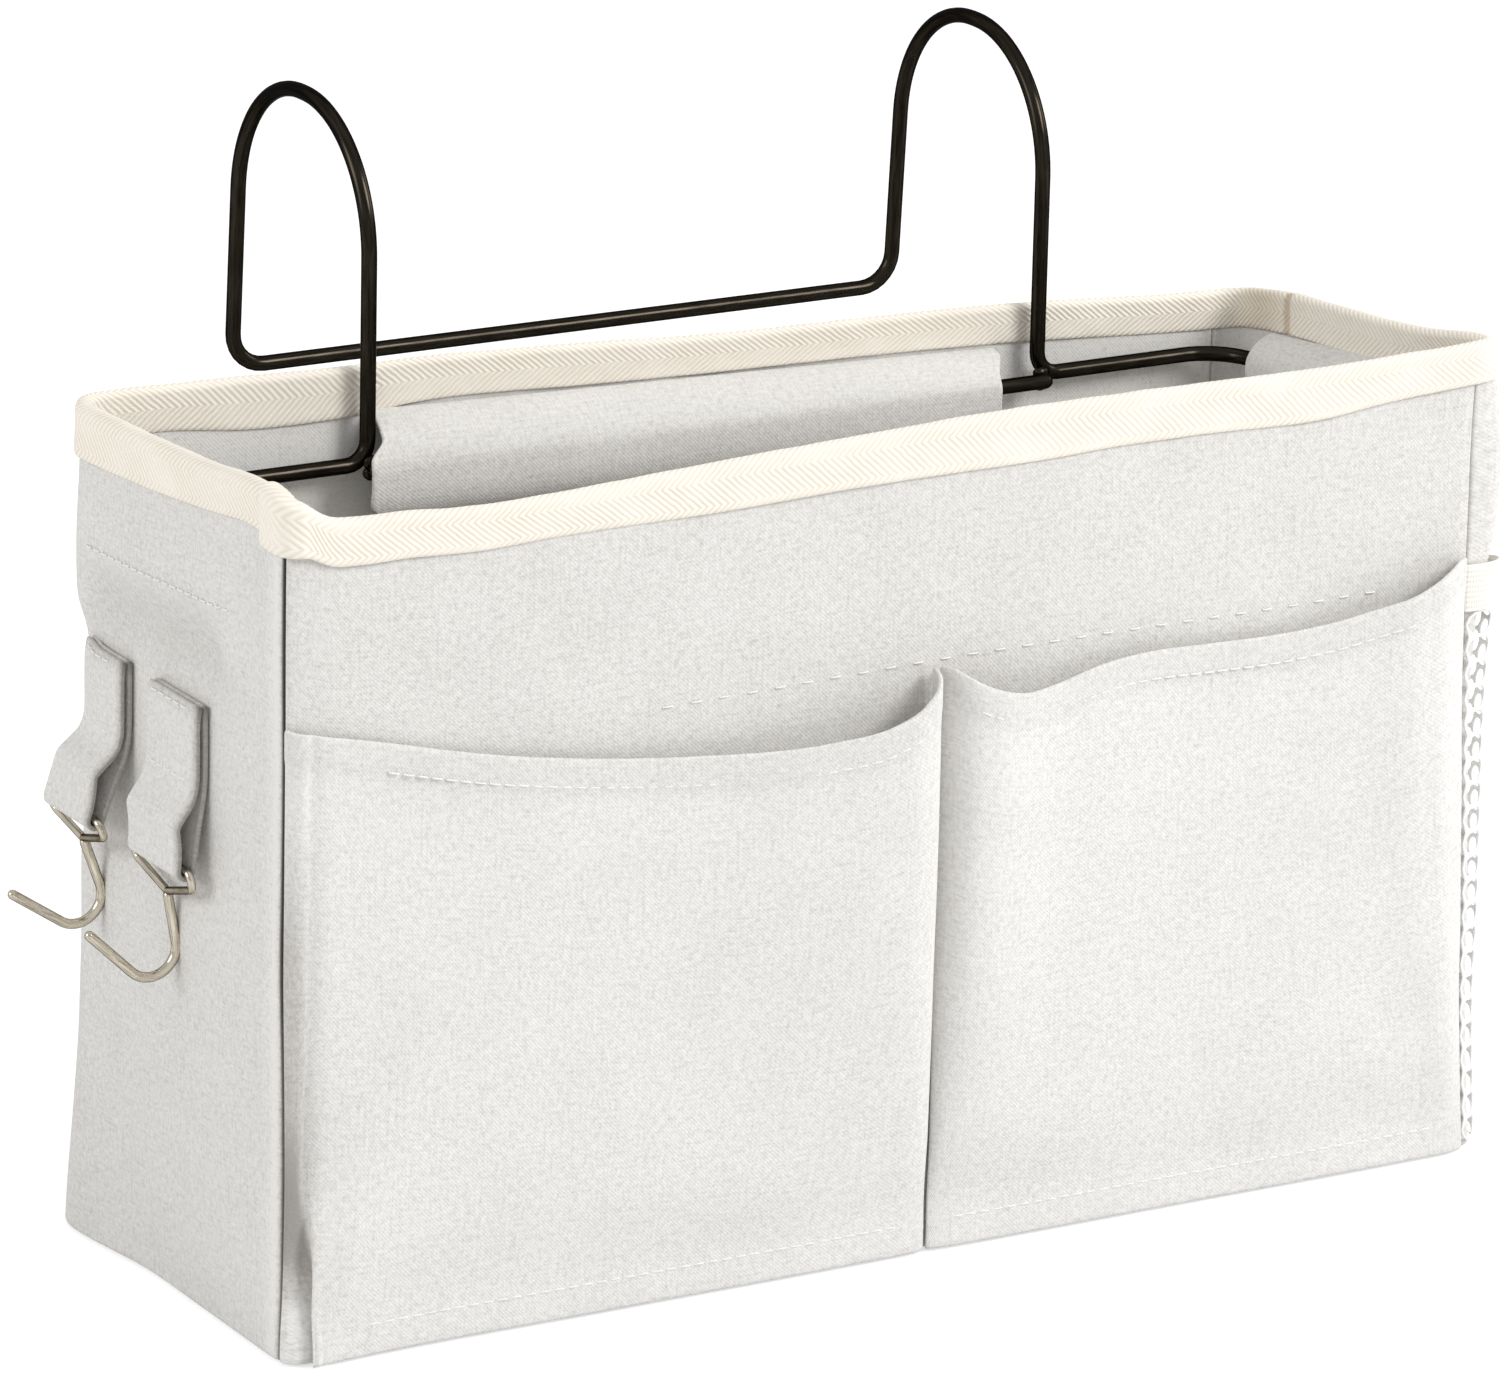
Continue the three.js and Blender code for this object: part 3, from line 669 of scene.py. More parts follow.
# Sleeves: strips of canvas sewn to the inside of the walls, which hold the wire. The two stitch lines
# of the front one are wide apart, and both ends of the back one stay open at the hooks.
sleeve_cloth = 1.2
sleeve_foot_gap = 0.4
sleeve_fullness = 3
sleeve_slant = 1.45
sleeve_top = bag_height - 10.4
wire_height = 187.3


def sleeve_piece(name, inward, foot, overhang=0, far_overhang=0):
    low, high = (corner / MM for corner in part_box(name))
    inward = Vector(inward)
    run = Vector((0, 0, 1)).cross(inward)
    length = abs((high - low).dot(run))
    depth = abs((high - low).dot(inward))
    wall_face = (bag_length if inward.x else bag_depth) / 2 - wall_cloth
    middle = Vector(((low.x + high.x) / 2 * abs(run.x), (low.y + high.y) / 2 * abs(run.y), 0))
    along = (spread(length, 7, (0.7, 2, 4, 7)) - length / 2)[:, None]
    share = np.sin(np.linspace(-math.pi / 2, math.pi / 2, 27))[None, :]
    line = np.array(middle - inward * wall_face)[None, :] + along * np.array(run)[None, :]
    upper = sleeve_top - wire_height - sag(line[:, 0], line[:, 1], sleeve_top)[:, None]
    power = np.where(share > 0, sleeve_slant + np.clip(15 - upper, 0, 9) / 25, sleeve_fullness)
    rise = (1 - np.abs(share) ** power) ** (1 / power)
    lift = sleeve_foot_gap + (depth - sleeve_foot_gap) * rise
    z = wire_height + share * np.where(share > 0, upper, wire_height - foot)
    over = overhang * smooth_step(rise, 0.7, 0.95) * smooth_step(-along, length / 2 - 12, length / 2)
    over += far_overhang * smooth_step(rise, 0.3, 0.95) * smooth_step(along, length / 2 - 12, length / 2)
    reach = along - over
    grid = np.empty((*lift.shape, 3))
    for axis in range(2):
        face = middle[axis] - inward[axis] * wall_face
        grid[:, :, axis] = face + reach * run[axis] + lift * inward[axis]
    grid[:, :, 2] = z
    slack = 0.7 * cloth_noise(grid, 26, (1.4, 1.4, 0.7)) * rise
    grid += slack[:, :, None] * np.array(inward)
    cloth_piece(name, grid, sleeve_cloth, canvas, "canvas")


sleeve_piece("back_sleeve", (0, -1, 0), 172, overhang=4.8, far_overhang=4)
sleeve_piece("front_sleeve", (0, 1, 0), 154)
sleeve_piece("left_sleeve", (1, 0, 0), 176)
sleeve_piece("right_sleeve", (-1, 0, 0), 172)


# Hanger: one closed steel wire, coated black, bent into two hooks, the bar behind them and the ring
# that lies in the sleeves. A straight cross bar is welded to the front of both legs.
wire_radius = 2
ring_inset = 7.2
ring_drop = 27.5
ring_corner = 14
hook_spacing = 195
hook_shift = 6.5
hook_depth = 69
arch_rise = 59
leg_flare = 5
back_bar_drop = 21
leg_bend = 6
bar_bend = 9
cross_bar_gap = 4.3
cross_bar_drop = 0.8
cross_bar_overrun = 2
weld_size = (2.3, 1.5, 1.9)
weld_rises = (1.6, -1.2)
weld_roughness = 0.12
wire_colour = (0.018, 0.015, 0.012, 1)
wire_worn = (0.045, 0.038, 0.028, 1)


def rounded_line(corners, step=4):
    """A closed line through corners given as a place and a bend radius, with the bends as fine arcs."""
    points = []
    for i, (place, radius) in enumerate(corners):
        place = Vector(place)
        before = (Vector(corners[i - 1][0]) - place).normalized()
        after = (Vector(corners[(i + 1) % len(corners)][0]) - place).normalized()
        half = before.angle(after) / 2
        middle = (before + after).normalized()
        side = (before - after).normalized()
        centre = place + middle * (radius / math.sin(half))
        turn = math.pi - 2 * half
        steps = max(6, round(turn * radius / step * 2))
        for j in range(steps + 1):
            angle = turn * (j / steps - 0.5)
            spoke = -middle * math.cos(angle) - side * math.sin(angle)
            points.append(centre + spoke * radius)
    return points


def wire_rings(points, radius, closed=False, sides=20):
    """Rings round a line, carried along it without twist; open ends are rounded off."""
    line = [Vector(p) for p in points]
    count = len(line)
    directions = []
    for i, p in enumerate(line):
        ahead = line[(i + 1) % count] if closed or i < count - 1 else p
        behind = line[i - 1] if closed or i > 0 else p
        first = (p - behind).normalized() if (p - behind).length else Vector()
        second = (ahead - p).normalized() if (ahead - p).length else Vector()
        directions.append((first + second).normalized())
    lateral = directions[0].orthogonal().normalized()
    carried = []
    for i, direction in enumerate(directions):
        if i:
            lateral = directions[i - 1].rotation_difference(direction) @ lateral
        lateral = (lateral - direction * lateral.dot(direction)).normalized()
        carried.append(lateral.copy())
    twist = 0
    if closed:
        returned = directions[-1].rotation_difference(directions[0]) @ carried[-1]
        twist = math.atan2(returned.cross(carried[0]).dot(directions[0]), returned.dot(carried[0]))
    stations = [(p, d, f, 1.0) for p, d, f in zip(line, directions, carried)]
    if not closed:
        caps = [(math.cos(a), math.sin(a)) for a in np.radians((25, 50, 72, 86))]
        ends = []
        for i, inward in ((0, radius), (-1, -radius)):
            p, d, f, _ = stations[i]
            ends.append([(p + d * inward * (1 - rise), d, f, reach) for reach, rise in caps])
            stations[i] = (p + d * inward, d, f, 1.0)
        stations = ends[0][::-1] + stations + ends[1]
    rings = []
    total = len(stations)
    for i, (p, d, f, scale) in enumerate(stations):
        first = Matrix.Rotation(twist * i / total, 3, d) @ f
        second = d.cross(first)
        ring = []
        for j in range(sides):
            angle = 2 * math.pi * j / sides
            ring.append(p + (first * math.cos(angle) + second * math.sin(angle)) * radius * scale)
        rings.append(ring)
    return rings


def skin_mesh(name, skins):
    """One mesh from skins, each a list of equal rings that is closed into a loop or capped."""
    points, faces, lies = [], [], []
    for rings, closed in skins:
        sides = len(rings[0])
        base = len(points)
        points += [p * MM for ring in rings for p in ring]
        spans = len(rings) if closed else len(rings) - 1
        run = 0
        for i in range(spans):
            here, there = rings[i], rings[(i + 1) % len(rings)]
            step = (there[0] - here[0]).length * MM
            around = 2 * math.pi * (here[0] - here[sides // 2]).length / 2 * MM
            for j in range(sides):
                k = (j + 1) % sides
                a, b = base + i * sides, base + (i + 1) % len(rings) * sides
                faces.append((a + j, a + k, b + k, b + j))
                low, high = j / sides * around, (j + 1) / sides * around
                lies += [(run, low), (run, high), (run + step, high), (run + step, low)]
            run += step
        if not closed:
            last = base + (len(rings) - 1) * sides
            faces.append(tuple(base + j for j in range(sides - 1, -1, -1)))
            faces.append(tuple(last + j for j in range(sides)))
            lies += [(0, 0)] * (2 * sides)
    return new_mesh(name, points, faces, lies)


def weld_bead(centre, size):
    rings = []
    for a in np.linspace(-math.pi / 2 + 0.15, math.pi / 2 - 0.15, 9):
        ring = []
        for b in np.linspace(0, 2 * math.pi, 16, endpoint=False):
            spot = Vector((
                math.sin(a) * size[0],
                math.cos(a) * math.cos(b) * size[1],
                math.cos(a) * math.sin(b) * size[2],
            ))
            lump = 1 + weld_roughness * noise.noise(spot * 1.3 + Vector(centre))
            ring.append(Vector(centre) + spot * lump)
        rings.append(ring)
    return rings


def coated_wire():
    finish, tree, shader, u, v = new_finish(
        "black_wire", Roughness=0.2, Metallic=0.92, Specular_Tint=(0.12, 0.11, 0.1, 1),
    )
    streaks = uneven(tree, u, v, 9, 0.8, 3.0, 0.6)
    painted(tree, shader, contrast(tree, streaks, 0.35, 0.75), wire_colour, wire_worn)
    bumped(tree, shader, streaks, 0.12, 0.1)
    return finish


black_wire = coated_wire()


def hanger_pieces():
    leg_y = bag_depth / 2 - ring_inset
    reach = bag_length / 2 - ring_inset
    low = bag_height - ring_drop
    top = bag_height + arch_rise
    back_y = leg_y + hook_depth
    bar = bag_height - back_bar_drop
    legs = (hook_shift - hook_spacing / 2, hook_shift + hook_spacing / 2)

    def hook(x):
        return [
            ((x, leg_y, low), leg_bend),
            ((x, leg_y, top), hook_depth / 2),
            ((x, back_y, top), hook_depth / 2),
            ((x, back_y + leg_flare, bar), bar_bend),
        ]

    ring_ways = ((1, 1), (1, -1), (-1, -1), (-1, 1))
    ring = [((reach * way_x, leg_y * way_y, low), ring_corner) for way_x, way_y in ring_ways]
    line = rounded_line(hook(legs[0]) + hook(legs[1])[::-1] + ring)
    mesh = skin_mesh("hanger_frame", [(wire_rings(line, wire_radius, closed=True), True)])
    make_object("hanger_frame", mesh, black_wire, "black_wire")
    bar_y = leg_y - cross_bar_gap
    bar_z = low - cross_bar_drop
    ends = [(legs[0] - cross_bar_overrun, bar_y, bar_z), (legs[1] + cross_bar_overrun, bar_y, bar_z)]
    skins = [(wire_rings(ends, wire_radius), False)]
    for x in legs:
        for rise in weld_rises:
            bead = weld_bead((x, leg_y - cross_bar_gap / 2, bar_z + rise), weld_size)
            skins.append((bead, False))
    make_object("cross_bar", skin_mesh("cross_bar", skins), black_wire, "black_wire")


hanger_pieces()


# Rim binding: a cream herringbone tape folded over the top edge all round. Its two ends overlap on the
# left side, just before the front corner, where the upper end hangs a little lower.
tape_cloth = 0.85
tape_drops = (
    (0, 12.2), (14, 11.6), (45, 10.9), (65, 10.6), (85, 11.2), (105, 12.2), (156, 12.9), (184, 13.8),
    (201, 13.9), (222, 13.2), (250, 12.9), (282, 13.3), (304, 11.6), (330, 11.1), (345, 11.4), (400, 12),
    (470, 11), (512, 11), (600, 10.4), (645, 11.2), (690, 11.6), (713, 13.4), (740, 13.8), (760, 12),
    (790, 13.6), (824, 13.1), (889, 11.6), (904, 12.2),
)
lap_drop = 3.6
lap_start = left_start + side_run - 7
lap_length = 11
lap_zone = 24
tape_gap = 0.25
corner_crease = right_end - 33
crease_depth = 0.5
tape_round = 2.1
tape_colour = (0.955, 0.905, 0.81, 1)
tape_shadow = (0.62, 0.52, 0.39, 1)
stripe_width = 6
ridge_pitch = 1.95
ridge_slope = 1.15


def tape_section():
    """The folded tape's outer face as shares: how far over the wall, and how far down each side."""
    up = [(1.0, share, 0) for share in np.linspace(1, 0, 6)[:-1]]
    over = [(math.cos(angle), 0, math.sin(angle)) for angle in np.linspace(0, math.pi, 15)]
    down = [(-1.0, share, 0) for share in np.linspace(0, 1, 6)[1:]]
    return up + over + down


def herringbone_tape():
    finish, tree, shader, u, v = new_finish(
        "binding_tape", Roughness=0.9, Sheen_Weight=0.15, Specular_IOR_Level=0.2,
    )
    zigzag = math_node(tree, "PINGPONG", v, stripe_width * MM)
    slant = math_node(tree, "MULTIPLY_ADD", zigzag, ridge_slope, u)
    bent = math_node(tree, "MULTIPLY_ADD", uneven(tree, u, v, 3, 3), 0.9 * MM, slant)
    wave = ridges(tree, bent, ridge_pitch)
    fibres = uneven(tree, u, v, 0.5, 0.5, 3.0, 0.6)
    patches = uneven(tree, u, v, 16, 8)
    worn = contrast(tree, patches, 0.15, 0.6)
    deep = math_node(tree, "MULTIPLY", contrast(tree, wave, 0.1, -1.0), worn)
    shade = math_node(tree, "MULTIPLY_ADD", deep, 0.46, math_node(tree, "MULTIPLY", fibres, 0.12))
    # The points' tone adds painted shade along the corner crease.
    shade = math_node(tree, "ADD", shade, point_tone_and_shade(tree))
    painted(tree, shader, shade, tape_colour, tape_shadow)
    height = math_node(tree, "MULTIPLY_ADD", fibres, 0.4, wave)
    bumped(tree, shader, height, 0.5, 0.18)
    return finish


binding_tape = herringbone_tape()


def rim_tape():
    total = girth + lap_length
    crease_at = girth - lap_start + corner_crease
    fine = np.arange(crease_at - 4, crease_at + 4.1, 0.8)
    ends = spread(lap_zone, 1.5)
    middle = spread(total - 2 * lap_zone, 3)[1:-1]
    runs = np.concatenate([ends, lap_zone + middle, total - lap_zone + ends])
    runs = np.sort(np.concatenate([runs[np.abs(runs - crease_at) > 4.8], fine]))
    over, down, crest = (np.array(part)[None, :] for part in zip(*tape_section()))
    s = (lap_start + runs)[:, None]
    upper = 1 - smooth_step(runs, lap_length + 1, lap_length + 9)[:, None]
    lift = (tape_cloth + 0.1) * upper
    run = np.mod(s, girth)
    drop = eased(run, tape_drops) + lap_drop * (1 - smooth_step(runs, 3, 20)[:, None])
    z = bag_height + lift - tape_round * (1 - crest) - down * (drop - tape_round)
    x, y, out_x, out_y = on_outline(s)
    half = wall_cloth / 2 + tape_cloth + tape_gap + lift
    pinch = crease_depth * hump(run, corner_crease, 1.2) * (over < -0.5)
    out = over * half - wall_cloth / 2 + swell(s, np.clip(z, None, wall_top)) + lean_out(run, z) + pinch
    aside = shift_right(x, y, np.clip(z, None, wall_top))
    grid = np.stack([x + out_x * out + aside, y + out_y * out, z], axis=-1)
    grid += 0.2 * cloth_noise(grid, 7)[:, :, None] * face_directions(grid)
    grid[:, :, 2] += rim_lift(s) - sag(grid[:, :, 0], grid[:, :, 1], z)
    inside = smooth_step(-over, 0.2, 0.9)
    # Painted shade in and beside the corner crease, on the tape's inner face.
    crease_shade = 1.5 * hump(run, corner_crease, 1) + 0.5 * hump(run, corner_crease + 12, 11)
    cloth_piece("rim_binding", grid, tape_cloth, binding_tape, "binding_tape", crease_shade * inside)


rim_tape()


# Front pockets: two wide pockets of paler canvas that share one seam. The cloth is folded into pleats
# at the foot of each side seam and stands off the wall at the mouth, which is hemmed.
pocket_cloth = 1.2
pocket_foot = 0.6
pocket_gap = 0.3
pocket_colour = (0.83, 0.82, 0.80, 1)
pocket_slub_and_shade = (0.48, 0.46, 0.435, 1)
hem_height = 8
hem_lift = 0.45
foot_hem = 8.5
foot_hem_lift = 0.3
hem_tone = 0.35
# Painted shade in the left pocket's fold, and its darkest value.
fold_shade = 3.3
darkest_shade = 1.95
pocket_waves = ((0.75, 46, (1, 1, 1)), (0.3, 17, (1, 1, 1.6)))

# Along each pocket from left to right: share of its width, place along the bag, stand-off and, at the
# mouth, its height. The foot of the left pocket folds back over itself beside the seam.
left_mouth = (
    (0, -170, -0.4, 160.3), (0.03, -165.5, 0.5, 159.2), (0.1, -151, 0.9, 156), (0.3, -116, 1.6, 147.9),
    (0.55, -67, 3.6, 141.2), (0.76, -28, 9.2, 140.8), (0.86, -12.5, 11.6, 143.2), (0.93, -2, 11.4, 148),
    (0.965, 2.6, 9.2, 151.6), (0.985, 5, 5, 153), (1, 6.1, 0.3, 153.4),
)
left_foot = (
    (0, -170, -0.4), (0.025, -159.5, 0), (0.045, -164.2, 6.6), (0.07, -160.5, 7), (0.12, -151, 5),
    (0.5, -82, 4.4), (0.9, -8, 4.6), (0.955, 3, 4.2), (0.985, 6.8, 2.4), (1, 7.8, 0.3),
)
right_mouth = (
    (0, 6.8, 0.3, 153.2), (0.02, 8.4, 4.6, 153.4), (0.05, 12, 8.6, 151.2), (0.09, 18.5, 9.8, 148.2),
    (0.14, 27, 8.4, 145.8), (0.2, 37, 5.8, 146), (0.3, 52.5, 3.8, 148.6), (0.4, 67, 3, 149.6),
    (0.5, 82, 2.8, 149.2), (0.7, 111, 3.2, 149.2), (0.85, 132.5, 5.2, 152), (0.94, 148.5, 6.8, 156),
    (0.98, 157.5, 5, 159.6), (1, 164.5, 0.3, 161.2),
)
right_foot = (
    (0, 8.4, 0.3), (0.02, 10, 2.2), (0.05, 13.4, 3.4), (0.09, 19, 4.2), (0.2, 38, 4.6), (0.5, 86, 4.4),
    (0.9, 150, 4.4), (0.97, 160.5, 3.4), (1, 164.5, 0.3),
)

pocket_canvas = woven_canvas("pocket_canvas", pocket_colour, pocket_slub_and_shade)


def off_wall(s, z, rough, out):
    """Points that stand off the bag's outer face."""
    out_x, out_y = on_outline(s)[2:]
    points = bag_surface(s, z, rough)
    points[..., 0] += out_x * out
    points[..., 1] += out_y * out
    return points


def pocket_surface(mouth, foot, share, rise):
    """Points of a pocket's outer face for shares of its width and of its height."""
    top = eased(share, mouth, 3)
    z = pocket_foot + (top - pocket_foot) * rise
    blend = smooth_step(z, 12, 100 - 52 * (1 - smooth_step(share, 0.04, 0.2)) * (mouth[0][1] < 0))
    x = eased(share, foot) * (1 - blend) + eased(share, mouth) * blend
    pressed = 0.3 + 0.7 * smooth_step(z, foot_hem - 2, 34)
    stand = eased(share, foot, 2) * pressed * (1 - blend) + eased(share, mouth, 2) * blend
    hem = hem_lift * smooth_step(z, top - hem_height - 1, top - hem_height + 0.5)
    hem = hem + foot_hem_lift * (1 - smooth_step(z, foot_hem, foot_hem + 1))
    run = x + bag_length / 2 - front_corner
    points = off_wall(run, z, 0.6, pocket_gap + pocket_cloth + stand + hem)
    points[..., 2] = z
    return points


def pleat_shade(share, height):
    """Painted shade in the recess of the fold beside the left pocket's seam, by share of its width and by
    height.
    """
    low = 1 - smooth_step(height, 30, 60)
    fold = 1 - smooth_step((share - 0.032 * low) / (0.018 + 0.05 * (1 - low)), 0, 1)
    fold = fold * between(height, 15, 24, 105, 145) * (1 - 0.8 * smooth_step(height, 38, 105))
    beside = hump(share, 0, 0.032) * between(height, 14, 28, 90, 135)
    crease = hump(share, 0.027, 0.006) * (1 - smooth_step(height, 16, 30))
    deep = (1 - smooth_step(share, 0.018, 0.036)) * between(height, 18, 32, 42, 72)
    return np.minimum(fold_shade * (fold + 0.6 * beside + 0.5 * crease), darkest_shade + deep)


def pocket_piece(name, mouth, foot, folded):
    share = [np.linspace(0, 0.1, 15), np.linspace(0.1, 0.9, 36), np.linspace(0.9, 1, 15)]
    share = np.unique(np.concatenate(share))
    rise = [(0, 0.008, 0.02, 0.035), np.linspace(0.05, 0.93, 30), (0.945, 0.955, 0.965, 0.98, 0.992, 1)]
    rise = np.concatenate(rise)
    grid = pocket_surface(mouth, foot, share[:, None], rise[None, :])
    slack = waviness(grid, pocket_waves)
    inside = smooth_step(share, 0.02, 0.14) * smooth_step(1 - share, 0.02, 0.14)
    grid[:, :, 1] -= slack * inside[:, None] * smooth_step(rise, 0.05, 0.2)[None, :]
    height = grid[:, :, 2]
    hem_line = height[:, -1:] - hem_height
    tone = hem_tone * smooth_step(height, hem_line - 1, hem_line)
    # Painted shade in the recess of the left pocket's fold.
    if folded:
        tone = tone + pleat_shade(share[:, None], height)
    cloth_piece(name, grid, pocket_cloth, pocket_canvas, "pocket_canvas", tone)


pocket_piece("front_pocket_left", left_mouth, left_foot, True)
pocket_piece("front_pocket_right", right_mouth, right_foot, False)


# Net pocket on the right side: white hexagonal net, sewn along its sides and foot, with a cream elastic
# band round its mouth.
net_gap = 0.3
net_strand = 1.15
net_wobble = 0.35
net_lift = 0.9
net_colour = (0.93, 0.93, 0.92, 1)
hexagon_side = 3.75
net_start = front_run - 0.8
net_end = right_end - corner_arc * back_corner
net_foot = 2.5
net_top = 145.5
net_mouth = 157.5
net_bow = 9.5
net_bow_rise = (
    (0, 0.02), (40, 0.1), (60, 0.2), (80, 0.3), (100, 0.4), (122, 0.45), (140, 0.48), (150, 0.48),
    (157.5, 0.44),
)
mouth_sag = 4.5
elastic_cloth = 1.4
elastic_colour = (0.94, 0.91, 0.84, 1)
elastic_shadow = (0.74, 0.68, 0.58, 1)
rib_pitch = 1.3
gather_pitch = 0.8
gather_height = 0.25


def net_surface(s, z, depth):
    """The bowed face of the net pocket for runs round the corner and heights."""
    share = np.clip((s - net_start) / (net_end - net_start), 0, 1)
    bow = net_bow * (1 - np.abs(1 - 2 * share) ** 7) * eased(z, net_bow_rise)
    points = off_wall(s, z, 0, net_gap + depth + bow)
    middle = mouth_sag * smooth_step(share, 0, 0.3) * smooth_step(1 - share, 0, 0.3)
    points[..., 2] -= middle * smooth_step(z, 40, 150)
    return points


def hexagon_net():
    rows = round((net_top - net_foot) / (hexagon_side * math.sqrt(3)))
    tall = (net_top - net_foot) / rows
    columns = round((net_end - net_start) / (1.5 * hexagon_side))
    reach = (net_end - net_start) / (1.5 * columns + 0.5)
    corners = {}
    faces = []
    for i in range(columns):
        for j in range(rows + (i % 2)):
            s = net_start + reach + 1.5 * reach * i
            z = net_foot + tall * (j + 0.5 - 0.5 * (i % 2))
            face = []
            for a in range(6):
                angle = a * math.pi / 3
                rise = np.clip(z + tall / math.sqrt(3) * math.sin(angle), net_foot, net_top)
                spot = (round(s + reach * math.cos(angle), 3), round(float(rise), 3))
                face.append(corners.setdefault(spot, len(corners)))
            faces.append(sorted(set(face), key=face.index))
    flat = np.array(list(corners))
    wobble = net_wobble * cloth_noise(np.stack([flat[:, 0], flat[:, 1], 0 * flat[:, 0]], axis=-1), 9)
    points = net_surface(np.clip(flat[:, 0] + wobble, net_start, net_end), flat[:, 1], net_lift)
    mesh = new_mesh("mesh_pocket", points * MM, faces, flat[np.concatenate(faces)] * MM)
    net = make_object("mesh_pocket", mesh, net_finish, "net")
    strands = net.modifiers.new("strands", "WIREFRAME")
    strands.thickness = net_strand * MM
    strands.use_boundary = True
    rounded_off(net)


def elastic_band():
    runs = net_start + spread(net_end - net_start, 2.5, (0.5,))
    heights = net_top + spread(net_mouth - net_top, 2, (0.4,))
    grid = net_surface(runs[:, None], heights[None, :], elastic_cloth)
    across = np.sin(np.pi * (heights - net_top) / (net_mouth - net_top))
    grid += gather_height * (np.sin(runs * 1.1)[:, None] * across)[:, :, None] * face_directions(grid)
    cloth_piece("mesh_pocket_elastic", grid, elastic_cloth, elastic_finish, "elastic")


def ribbed_elastic():
    finish, tree, shader, u, v = new_finish("elastic", Roughness=0.85)
    gathers = ridges(tree, u, gather_pitch)
    height = math_node(tree, "MULTIPLY_ADD", gathers, 0.4, ridges(tree, v, rib_pitch))
    shade = math_node(tree, "MULTIPLY", contrast(tree, height, 0.2, -1.4), 0.4)
    painted(tree, shader, shade, elastic_colour, elastic_shadow)
    bumped(tree, shader, height, 0.5, 0.2)
    return finish


net_finish = plain_finish("net", net_colour, 0.7, 0.3, 0.12)
elastic_finish = ribbed_elastic()
hexagon_net()
elastic_band()


# Strap loops on the left side: each is one strip of canvas, sewn double to the wall at the top and
# folded round the cross wire of its hook below.
strap_width = 27
strap_cloth = 1.2
tab_half = 1.3
tab_height = 20.3
ply_gap = 0.7
strap_top = bag_height - 60
tab_drops = (0, 0.6, 4, 8, 12, 16, 19)
loop_drop = 19.6
loop_bulge = 3.4
elbow = 0.44
loop_end = 2.6
cross_wire_x = tab_half - loop_end
corner_set_in = 2
corner_shift = 2.6
# Painted shade along the straps' side edge and top fold.
edge_shade = 2.4
top_shade = 1.6
strap_waves = 0.2
straps = {
    "front": {"tilt": 9, "hook_tilt": -10, "loop": "front_loop", "hook": "front_hook_body"},
    "rear": {"tilt": 22, "hook_tilt": -20, "loop": "rear_loop", "hook": "rear_hook_body"},
}


def joint_place(name):
    joint = next(j for j in frame["joints"] if j["name"] == name)
    return Vector(joint["pos_m"]) / MM


def sewn_out(drop):
    """How far the sewn part's outer face stands out, for a drop below its top."""
    return tab_half + ply_gap * min(1, drop / 4)


def strap_path(tilt):
    """The strap's outer face seen from the side, from its top over the fold to its top again."""
    turn = math.radians(tilt)
    hinge = strap_top - tab_height - tab_half

    def leaned(x, z):
        return x * math.cos(turn) + z * math.sin(turn), hinge - x * math.sin(turn) + z * math.cos(turn)

    path = [(-sewn_out(drop), strap_top - drop) for drop in tab_drops]
    for share in (0.1, 0.2, 0.35, 0.47, 0.53, 0.68, 0.84, 1):
        lean = -tab_half - ply_gap * (1 - share) + (cross_wire_x - loop_end + tab_half) * share
        bent = min(share / elbow, (1 - share) / (1 - elbow))
        path.append(leaned(lean - loop_bulge * bent**1.5, -loop_drop * share))
    for angle in np.linspace(math.pi, 2 * math.pi, 9)[1:]:
        x = cross_wire_x + loop_end * math.cos(angle)
        path.append(leaned(x, -loop_drop + loop_end * math.sin(angle)))
    for share in np.linspace(0.9, 0.12, 7):
        path.append(leaned(tab_half - 0.25 * math.sin(math.pi * share), -loop_drop * share))
    path += [(tab_half, strap_top - drop) for drop in reversed(tab_drops)]
    return np.array(path)


def strap_piece(side):
    spec = straps[side]
    place = joint_place(side + "_strap_swing")
    path = strap_path(spec["tilt"])
    across = spread(strap_width, 3, (0.5,)) - strap_width / 2
    grid = np.empty((len(across), len(path), 3))
    grid[:, :, 0] = place.x + path[None, :, 0]
    grid[:, :, 1] = place.y + across[:, None]
    grid[:, :, 2] = path[:, 1][None, :]
    near_corner = drawn_in(grid[:, :, 1])
    from_fold = grid[:, :, 2] - grid[:, :, 2].min()
    grid[:, :, 0] += strap_waves * cloth_noise(grid, 12) * smooth_step(from_fold, 3, 10)
    grid[:, :, 0] += corner_set_in * near_corner * smooth_step(from_fold, 6, 18)
    grid[:, :, 1] -= corner_shift * near_corner
    name = side + "_strap"
    # Painted shade along one side edge and the top of the strap.
    tone = edge_shade * hump(across, -strap_width / 2, 0.8)[:, None]
    tone = tone + top_shade * hump(grid[:, :, 2], strap_top, 0.8)
    strap = cloth_piece(name, grid, strap_cloth, canvas, "canvas", tone, body=None, replaces=False)
    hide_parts(side + "_strap_tab", side + "_strap_loop")
    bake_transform(strap)


strap_piece("front")
strap_piece("rear")


# Hooks: each is bent from nickel plated wire, a closed three-cornered frame held in the strap's fold
# and a thicker shank that turns up into a J.
shank_radius = 1.25
arm_radius = 1
arm_reach = strap_width / 2 + 1.7
arm_drop = 4.2
junction_drop = 9
arm_bend = 2
shank_drop = 22.3
hook_bend = 7
hook_turn = math.radians(144)
tip_length = 17
nickel_colour = (0.80, 0.74, 0.62, 1)
nickel_worn = (0.30, 0.25, 0.18, 1)


